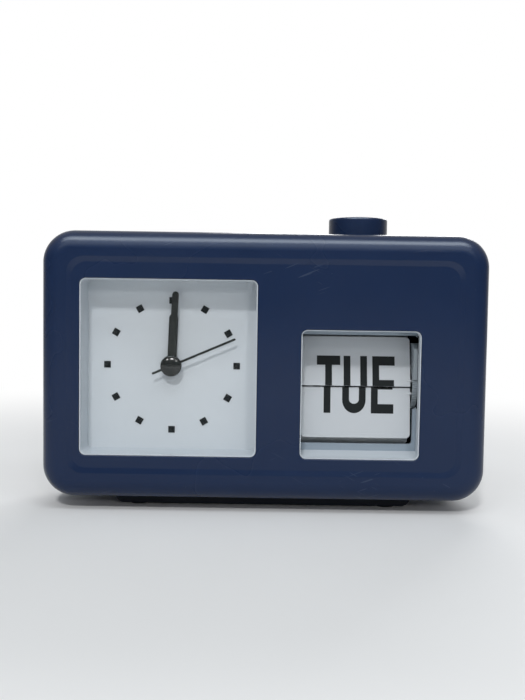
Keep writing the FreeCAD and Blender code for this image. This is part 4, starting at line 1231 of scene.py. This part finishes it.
@dataclass
class Dial:
    """The white dial with its pane, markers and hands."""

    frame: dict
    hub_x: float = -38.7
    hub_z: float = 58.8
    cap_radius: float = 4.35
    cap_back: float = -15.1
    cap_front: float = -16.4
    cap_skirt: float = 0.45
    cap_sides: int = 72
    cap_rings: int = 9
    # the share of a ring's step that stays flat at the crown
    cap_crown: float = 0.6
    cap_piece: bpy.types.Object | None = None

    def build(self) -> None:
        """Dresses the dial and turns the domed cap."""
        dress(self.frame, Palette.DIAL.value, "dial_plate")
        dress(self.frame, Palette.PRINT.value, "hour_markers")
        dress(self.frame, Palette.PANE.value, "dial_lens")
        dress(self.frame, Palette.HAND.value, "hour_hand", "minute_hand", "second_hand")
        dress(self.frame, Palette.ZINC.value, "dial_screws")
        self.cap()

    def cap(self) -> None:
        """Turns the domed cap over the hands: a short skirt and rings that close in as they rise."""
        skirt_front = self.cap_back - self.cap_skirt
        middle = (self.hub_x, (self.cap_back + skirt_front) / 2, self.hub_z)
        piece = Workpiece.disc("hub_cap", middle, self.cap_radius, self.cap_skirt, "Y", self.cap_sides)
        piece.pick(lambda c, n: n.y < -0.9)
        rise = skirt_front - self.cap_front
        radius, height = self.cap_radius, 0.0
        for ring in range(1, self.cap_rings + 1):
            angle = math.pi / 2 * ring / (self.cap_rings + self.cap_crown)
            new_radius, new_height = self.cap_radius * math.cos(angle), rise * math.sin(angle)
            bpy.ops.mesh.inset(thickness=(radius - new_radius) * MM, depth=0.0)
            bpy.ops.transform.translate(value=(0.0, -(new_height - height) * MM, 0.0))
            radius, height = new_radius, new_height
        piece.done()
        piece.smooth(50.0)
        self.cap_piece = piece.fit("second", Palette.CAP.value, ["hand_cap"])


@dataclass
class Movement:
    """The quartz movement behind the dial."""

    frame: dict

    def build(self) -> None:
        """Dresses the case, wheels and drive of the movement."""
        dress(self.frame, Palette.BLACK.value, "movement_front", "movement_cover", "set_knob")
        dress(self.frame, Palette.ZINC.value, "movement_screws")
        dress(self.frame, Palette.BRASS.value, "minute_arbor")
        wheels = ("hour_wheel", "motion_wheel", "seconds_wheel", "reduction_wheel")
        dress(self.frame, Palette.IVORY.value, *wheels)
        dress(self.frame, Palette.MAGNET.value, "rotor")
        dress(self.frame, Palette.SPRING.value, "stator")
        dress(self.frame, Palette.COPPER.value, "drive_coil")
        dress(self.frame, Palette.BOARD.value, "circuit_board")


@dataclass
class BatteryBay:
    """The battery, its contacts and the hinged door."""

    frame: dict
    door_back: float = 23.0
    mark_x: float = -38.7
    mark_z: float = 34.6
    chevron_half: float = 2.6
    chevron_rise: float = 2.2
    chevron_stroke: float = 0.8
    chevron_raise: float = 0.2

    def build(self) -> None:
        """Dresses the bay and adds the opening mark on the door."""
        dress(self.frame, Palette.NAVY.value, "battery_door")
        dress(self.frame, Palette.CELL.value, "battery")
        dress(self.frame, Palette.SPRING.value, "negative_contact", "positive_contact")
        self.open_mark()

    def open_mark(self) -> None:
        """Raises a small chevron that points to the thumb edge."""
        x, z = self.mark_x, self.mark_z
        path = [(x - self.chevron_half, z), (x, z + self.chevron_rise), (x + self.chevron_half, z)]
        piece = Workpiece.ribbon("door_chevron", path, self.chevron_stroke, self.chevron_raise)
        piece.move(0.0, self.door_back - SINK, 0.0)
        piece.fit("battery_lid", Palette.NAVY.value)


@dataclass
class Calendar:
    """The seven day cards with their print, the spool and its cradle."""

    frame: dict
    cutter: LetterCutter
    spool_y: float = -9.0
    spool_z: float = 51.3
    pin_circle: float = 6.0
    card_left: float = 15.3
    card_width: float = 45.0
    card_length: float = 20.8
    card_root: float = 2.35
    card_thick: float = 0.8
    card_angles: tuple[float, ...] = (104.0, 108.0, 150.0, 215.0, 245.0, 268.0, 276.0)
    letter_gap: float = 1.8
    letter_lift: float = 0.9
    lower_shift: float = -0.5
    proud: float = 0.03
    line_inset: float = 1.7
    line_end: float = 1.2
    line_width: float = 0.14
    line_proud: float = 0.021
    line_round: float = 0.02
    disc_radius: float = 9.3
    disc_thick: float = 2.1
    disc_gap: float = 0.3
    disc_ribs: int = 72
    rib_points: int = 4
    rib_depth: float = 0.25
    rim_width: float = 1.3
    recess_slope: float = 0.15
    recess_depth: float = 0.3
    shown: list[bpy.types.Object] = field(default_factory=list)

    def build(self) -> None:
        """Dresses the calendar, prints the cards and ribs the discs."""
        cards = [f"day_card_{k + 1}" for k in range(len(self.card_angles))]
        dress(self.frame, Palette.CARD.value, *cards)
        dress(self.frame, Palette.BLACK.value, "calendar_cradle")
        dress(self.frame, Palette.GREY.value, "spool_disc_left", "spool_disc_right", "card_guides")
        dress(self.frame, Palette.IVORY.value, "ratchet_wheel")
        dress(self.frame, Palette.SPRING.value, "spool_axle", "detent_spring")
        dress(self.frame, Palette.ZINC.value, "cradle_screws")
        days = list(Day)
        for station, day in enumerate(days):
            self.print_half(station, day, upper=True)
            self.print_half(station, days[(station + 1) % len(days)], upper=False)
            self.press_lines(station)
        self.cutter.tidy()
        self.ribbed_disc("spool_disc_left", self.card_left - self.disc_gap - self.disc_thick)
        self.ribbed_disc("spool_disc_right", self.card_left + self.card_width + self.disc_gap)
        self.shown += [self.frame["nodes"][card] for card in cards]

    def pin(self, station: int) -> Vector:
        """Finds a card's hinge pin.

        Args:
            station: The card's place round the spool, from the shown upper one.

        Returns:
            The pin's place at x = 0, in millimetres.
        """
        step = 360.0 / len(self.card_angles)
        angle = math.radians(step / 2 + station * step)
        across = self.spool_y - self.pin_circle * math.cos(angle)
        return Vector((0.0, across, self.spool_z + self.pin_circle * math.sin(angle)))

    def seam(self) -> float:
        """How far the line between the shown cards lies below the pin, along a card."""
        return self.pin_circle * math.sin(math.radians(180.0 / len(self.card_angles)))

    def lay(self, piece: Workpiece, station: int) -> None:
        """Turns a piece that was made on an upright card at the origin to where the card stands."""
        piece.move(*self.pin(station), turn=math.radians(90.0 - self.card_angles[station]))

    def print_half(self, station: int, day: Day, upper: bool) -> None:
        """Prints one half of a day on a card.

        Args:
            station: The card's place round the spool, from the shown upper one.
            day: The day whose half is printed.
            upper: The top half on the card's front, or the bottom half on its back.
        """
        side = "front" if upper else "back"
        word = self.cutter.word(f"print_{station + 1}_{side}_{day.value}", day.value, self.letter_gap)
        middle_x = self.card_left + self.card_width / 2 + (0.0 if upper else self.lower_shift)
        surface = self.card_thick / 2
        word.move(middle_x, -(surface + self.proud), self.letter_lift - self.seam())
        if not upper:
            # the bottom half is seen with the card hanging, so it stands on its head on the upright card
            word.move(0.0, 0.0, 2 * self.seam())
            word.move(0.0, 0.0, 0.0, turn=math.pi)
        word.halve(Vector((0.0, 0.0, -self.card_root * MM)), Vector((0, 0, -1)))
        word.mend()
        self.lay(word, station)
        self.shown.append(word.fit(f"card_{station + 1}", Palette.PRINT.value))

    def press_lines(self, station: int) -> None:
        """Adds the fine line that is pressed across both faces near the free edge.

        Args:
            station: The card's place round the spool.
        """
        z = self.card_length - self.card_root - self.line_inset
        left = self.card_left + self.line_end
        right = self.card_left + self.card_width - self.line_end
        surface = self.card_thick / 2 + self.line_proud
        low, high = (left, -surface, z), (right, surface, z + self.line_width)
        line = Workpiece.block(f"press_line_{station + 1}", low, high)
        line.modify("BEVEL", width=self.line_round * MM, segments=2)
        self.lay(line, station)
        self.shown.append(line.fit(f"card_{station + 1}", Palette.CARD.value))

    def ribbed_disc(self, node: str, left: float) -> None:
        """Makes an end disc with a ribbed rim and a recessed outer face, in place of the plain one.

        Args:
            node: The plain disc.
            left: Where its left face stands.
        """
        middle = (left + self.disc_thick / 2, self.spool_y, self.spool_z)
        points = self.disc_ribs * self.rib_points
        piece = Workpiece.disc(node + "_ribbed", middle, self.disc_radius, self.disc_thick, "X", points)

        def in_groove(place: Vector) -> bool:
            """Half of each rib's points lie in a groove of the rim."""
            turn = math.atan2(place.z - self.spool_z, place.y - self.spool_y)
            return round(turn / math.tau * points) % self.rib_points < self.rib_points / 2

        piece.pick_points(in_groove)
        shrink = 1.0 - self.rib_depth / self.disc_radius
        centre = [c * MM for c in middle]
        bpy.ops.transform.resize(value=(1.0, shrink, shrink), center_override=centre)
        piece.done()
        piece.pick(lambda c, n: abs(n.x) > 0.9)
        bpy.ops.mesh.inset(thickness=self.rim_width * MM, depth=0.0)
        bpy.ops.mesh.inset(thickness=self.recess_slope * MM, depth=-self.recess_depth * MM)
        piece.done()
        piece.smooth(25.0)
        self.shown.append(piece.fit("spool", Palette.GREY.value, [node]))


@dataclass
class PushButton:
    """The button on top, its spring and the arm with the pawl."""

    frame: dict
    wire: float = 0.4
    turns: int = 7
    turn_steps: int = 28
    section_sides: int = 10
    press: float = 5.0

    def build(self) -> None:
        """Dresses the button and what it drives."""
        dress(self.frame, Palette.BUTTON.value, "day_button")
        dress(self.frame, Palette.SPRING.value, "push_pawl")
        dress(self.frame, Palette.GREY.value, "push_arm")
        self.coil()

    def coil(self) -> None:
        """Winds the return spring."""
        low, high = (Vector(corner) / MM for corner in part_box("button_spring"))
        middle = (low + high) / 2
        radius = high.x - middle.x - self.wire
        length = high.z - low.z
        piece = Workpiece(
            "return_coil", bpy.ops.mesh.primitive_circle_add, vertices=self.section_sides,
            radius=self.wire * MM, location=(radius * MM, 0.0, 0.0), rotation=(math.pi / 2, 0.0, 0.0),
        )
        piece.settle()
        pitch = (length - 2 * self.wire) / self.turns
        piece.modify(
            "SCREW", axis="Z", angle=2 * math.pi, screw_offset=pitch * MM, iterations=self.turns,
            steps=self.turn_steps, render_steps=self.turn_steps,
        )
        piece.edit("EDGE", everything=True)
        bpy.ops.mesh.fill_holes(sides=0)
        bpy.ops.mesh.normals_make_consistent(inside=False)
        piece.done()
        piece.move(middle.x, middle.y, low.z + self.wire)
        piece.smooth(60.0)
        spring = piece.fit("case", Palette.SPRING.value, ["button_spring"])
        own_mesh(spring)


# ---- Studio -------------------------------------------------------------------------------------
class Beam(Enum):
    """What a lamp lights."""

    ALL = "all"
    CARDS = "cards"
    ALL_BUT_CARDS = "all_but_cards"
    SHELL = "shell"
    FACE = "face"
    BUTTON = "button"
    CAP = "cap"


class Show(Enum):
    """How a lamp is seen: as light, as a reflection in gloss, or both."""

    BOTH = "both"
    LIGHT = "light"
    GLOSS = "gloss"


@dataclass(frozen=True)
class Lamp:
    """An area lamp that looks at the clock.

    share is the brightness that it gives a white sheet facing it. Elevation and azimuth are degrees, with
    the azimuth counted from the front towards +X. Distance, width and depth are metres.
    """

    name: str
    elevation: float
    azimuth: float
    distance: float
    width: float
    depth: float
    share: float
    colour: Colour = (1.0, 1.0, 1.0)
    beam: Beam = Beam.ALL
    show: Show = Show.BOTH

    def hang(self, target: Vector, groups: dict[Beam, Sequence[bpy.types.Object]]) -> None:
        """Hangs the lamp where it belongs.

        Args:
            target: The point that it faces.
            groups: The objects that a beam lights or leaves out.
        """
        up, aside = math.radians(self.elevation), math.radians(self.azimuth)
        way = Vector((math.sin(aside) * math.cos(up), -math.cos(aside) * math.cos(up), math.sin(up)))
        bpy.ops.object.light_add(type="AREA", location=target + way * self.distance)
        lamp = bpy.context.object
        lamp.name = self.name
        lamp.rotation_mode = "QUATERNION"
        lamp.rotation_quaternion = (-way).to_track_quat("-Z", "Y")
        lamp.data.shape = "RECTANGLE"
        lamp.data.size, lamp.data.size_y = self.width, self.depth
        lamp.data.color = self.colour
        lamp.data.energy = self.share * math.pi ** 2 * self.distance ** 2
        lamp.visible_glossy = self.show is not Show.LIGHT
        lamp.visible_diffuse = self.show is not Show.GLOSS
        if self.beam is not Beam.ALL:
            self.screen(lamp, groups[self.beam])

    def screen(self, lamp: bpy.types.Object, held: Sequence[bpy.types.Object]) -> None:
        """Keeps the lamp to some objects, or off them.

        Args:
            lamp: The lamp's object.
            held: The objects.
        """
        screen = bpy.data.collections.new(self.name + "_screen")
        for obj in held:
            screen.objects.link(obj)
        state = "EXCLUDE" if self.beam is Beam.ALL_BUT_CARDS else "INCLUDE"
        for entry in screen.collection_objects:
            entry.light_linking.link_state = state
        lamp.light_linking.receiver_collection = screen


COOL: Colour = (0.84, 0.94, 1.0)


@dataclass
class Studio:
    """A pale floor, soft lamps, a white surround and the camera."""

    # millimetres and degrees
    camera_place: tuple[float, float, float] = (-1.0, -365.0, 85.7)
    camera_pitch: float = 3.23
    camera_roll: float = 0.85
    focal: float = 43.7
    sensor: float = 36.0
    # metres
    near: float = 0.01
    target_z: float = 0.06
    floor_half: float = 3.0
    floor_fade: Span = (0.14, 0.5)
    floor_greys: Span = (0.84, 0.88)
    cloud_scale: float = 9.0
    sky: Colour = (0.95, 0.98, 1.0)
    sky_heights: Span = (-0.1, 0.7)
    sky_strength: Span = (0.18, 0.26)
    shine_span: Span = (0.1, 0.9)
    shine_share: float = 0.6
    # name, elevation, azimuth, distance, width, depth and share
    lamps: tuple[Lamp, ...] = (
        Lamp("ceiling_panel", 60.0, 4.0, 1.2, 1.0, 0.34, 0.30, (0.90, 0.96, 1.0)),
        Lamp("key_lamp", 37.8, -8.0, 1.3, 0.10, 0.10, 0.365, beam=Beam.ALL_BUT_CARDS, show=Show.LIGHT),
        Lamp("low_lamp", 17.0, 14.0, 1.3, 0.14, 0.14, 0.13, beam=Beam.ALL_BUT_CARDS, show=Show.LIGHT),
        Lamp("card_key", 49.0, -6.0, 1.3, 0.10, 0.10, 0.33, beam=Beam.CARDS, show=Show.LIGHT),
        Lamp("card_low", 27.0, 10.0, 1.3, 0.12, 0.12, 0.055, beam=Beam.CARDS, show=Show.LIGHT),
        Lamp("ceiling_sheen", 65.0, 0.0, 1.2, 1.6, 0.50, 1.30, COOL, Beam.SHELL, Show.GLOSS),
        Lamp("wall_sheen", 35.0, 0.0, 1.2, 1.6, 0.56, 0.38, COOL, Beam.FACE, Show.GLOSS),
        Lamp("rim_sheen", 50.0, 0.0, 1.2, 1.6, 0.30, 2.20, COOL, Beam.BUTTON, Show.GLOSS),
        Lamp("glint_left", 15.0, -19.0, 1.3, 0.10, 0.10, 0.050, beam=Beam.CAP, show=Show.GLOSS),
        Lamp("glint_middle", 19.0, -4.0, 1.3, 0.11, 0.11, 0.110, beam=Beam.CAP, show=Show.GLOSS),
        Lamp("glint_right", 14.0, 10.0, 1.3, 0.10, 0.10, 0.050, beam=Beam.CAP, show=Show.GLOSS),
        Lamp("back_fill", 30.0, 165.0, 1.4, 0.8, 0.5, 0.45),
    )

    def build(self, groups: dict[Beam, Sequence[bpy.types.Object]]) -> None:
        """Sets up the surroundings and the camera.

        Args:
            groups: The objects that each beam lights or leaves out.
        """
        self.floor()
        self.world()
        for lamp in self.lamps:
            lamp.hang(Vector((0.0, 0.0, self.target_z)), groups)
        self.camera()

    def floor(self) -> None:
        """Lays the floor, which fades to white away from the clock."""
        piece = Workpiece("studio_floor", bpy.ops.mesh.primitive_plane_add, size=2 * self.floor_half)
        material = bpy.data.materials.new("studio_floor")
        board = bare_board(material)
        place = board.add("ShaderNodeTexCoord").outputs["Object"]
        tone = board.tint(board.noise(place, self.cloud_scale, detail=3.0), *map(grey, self.floor_greys))
        values = {"Base Color": tone, "Roughness": 0.9, "Specular IOR Level": 0.1}
        shader = board.add("ShaderNodeBsdfPrincipled", values)
        white = board.add("ShaderNodeEmission", {"Color": grey(1.0), "Strength": 1.0})
        away = board.add("ShaderNodeVectorMath", {0: place}, operation="LENGTH").outputs["Value"]
        seen = board.add("ShaderNodeLightPath").outputs["Is Camera Ray"]
        share = board.math("MULTIPLY", board.ramp(away, self.floor_fade), seen)
        mix = board.add("ShaderNodeMixShader", {0: share, 1: shader.outputs[0], 2: white.outputs[0]})
        board.add("ShaderNodeOutputMaterial", {"Surface": mix.outputs[0]})
        piece.obj.data.materials.append(material)

    def world(self) -> None:
        """Makes the surround white to the camera and a soft sky to everything else."""
        world = bpy.data.worlds.new("studio_surround")
        bpy.context.scene.world = world
        board = bare_board(world)
        way = board.add("ShaderNodeTexCoord").outputs["Generated"]
        _, back, up = board.add("ShaderNodeSeparateXYZ", {0: way}).outputs
        strength = board.ramp(up, self.sky_heights, *self.sky_strength)
        soft = board.add("ShaderNodeBackground", {"Color": opaque(self.sky), "Strength": strength})
        white = board.add("ShaderNodeBackground", {"Color": grey(1.0), "Strength": 1.0})
        ray = board.add("ShaderNodeLightPath").outputs
        # the side of the room that the face looks at is the dim one
        lit_side = board.ramp(board.math("MAXIMUM", up, back), self.shine_span, 0.0, self.shine_share)
        shine = board.math("MULTIPLY", ray["Is Glossy Ray"], lit_side)
        seen = board.math("MAXIMUM", ray["Is Camera Ray"], ray["Is Transmission Ray"])
        share = board.math("MAXIMUM", seen, shine)
        mix = board.add("ShaderNodeMixShader", {0: share, 1: soft.outputs[0], 2: white.outputs[0]})
        board.add("ShaderNodeOutputWorld", {"Surface": mix.outputs[0]})

    def camera(self) -> None:
        """Stands the camera in front of the clock, a little above its middle."""
        bpy.ops.object.camera_add()
        camera = bpy.context.object
        camera.name = "studio_camera"
        pitch = Matrix.Rotation(math.radians(90.0 - self.camera_pitch), 4, "X")
        roll = Matrix.Rotation(math.radians(self.camera_roll), 4, "Z")
        camera.matrix_world = Matrix.Translation(Vector(self.camera_place) * MM) @ pitch @ roll
        camera.data.sensor_width = self.sensor
        camera.data.lens = self.focal
        camera.data.clip_start = self.near
        bpy.context.scene.camera = camera


def main() -> None:
    """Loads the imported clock, dresses it, adds the fine pieces and sets up the studio."""
    logging.basicConfig(level=logging.INFO, format="%(name)s: %(message)s")
    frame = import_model()
    bpy.context.scene.view_settings.view_transform = "Standard"
    Case(frame).build()
    dial = Dial(frame)
    dial.build()
    Movement(frame).build()
    BatteryBay(frame).build()
    calendar = Calendar(frame, LetterCutter())
    calendar.build()
    PushButton(frame).build()
    shell = [frame["nodes"][node] for node in ("front_bezel", "rear_housing", "battery_door", "day_button")]
    groups = {
        Beam.CARDS: calendar.shown,
        Beam.ALL_BUT_CARDS: calendar.shown,
        Beam.SHELL: shell,
        Beam.FACE: shell[:1],
        Beam.BUTTON: shell[-1:],
        Beam.CAP: [dial.cap_piece],
    }
    Studio().build(groups)
    LOG.info("the clock is dressed")


if __name__ == "__main__":
    main()
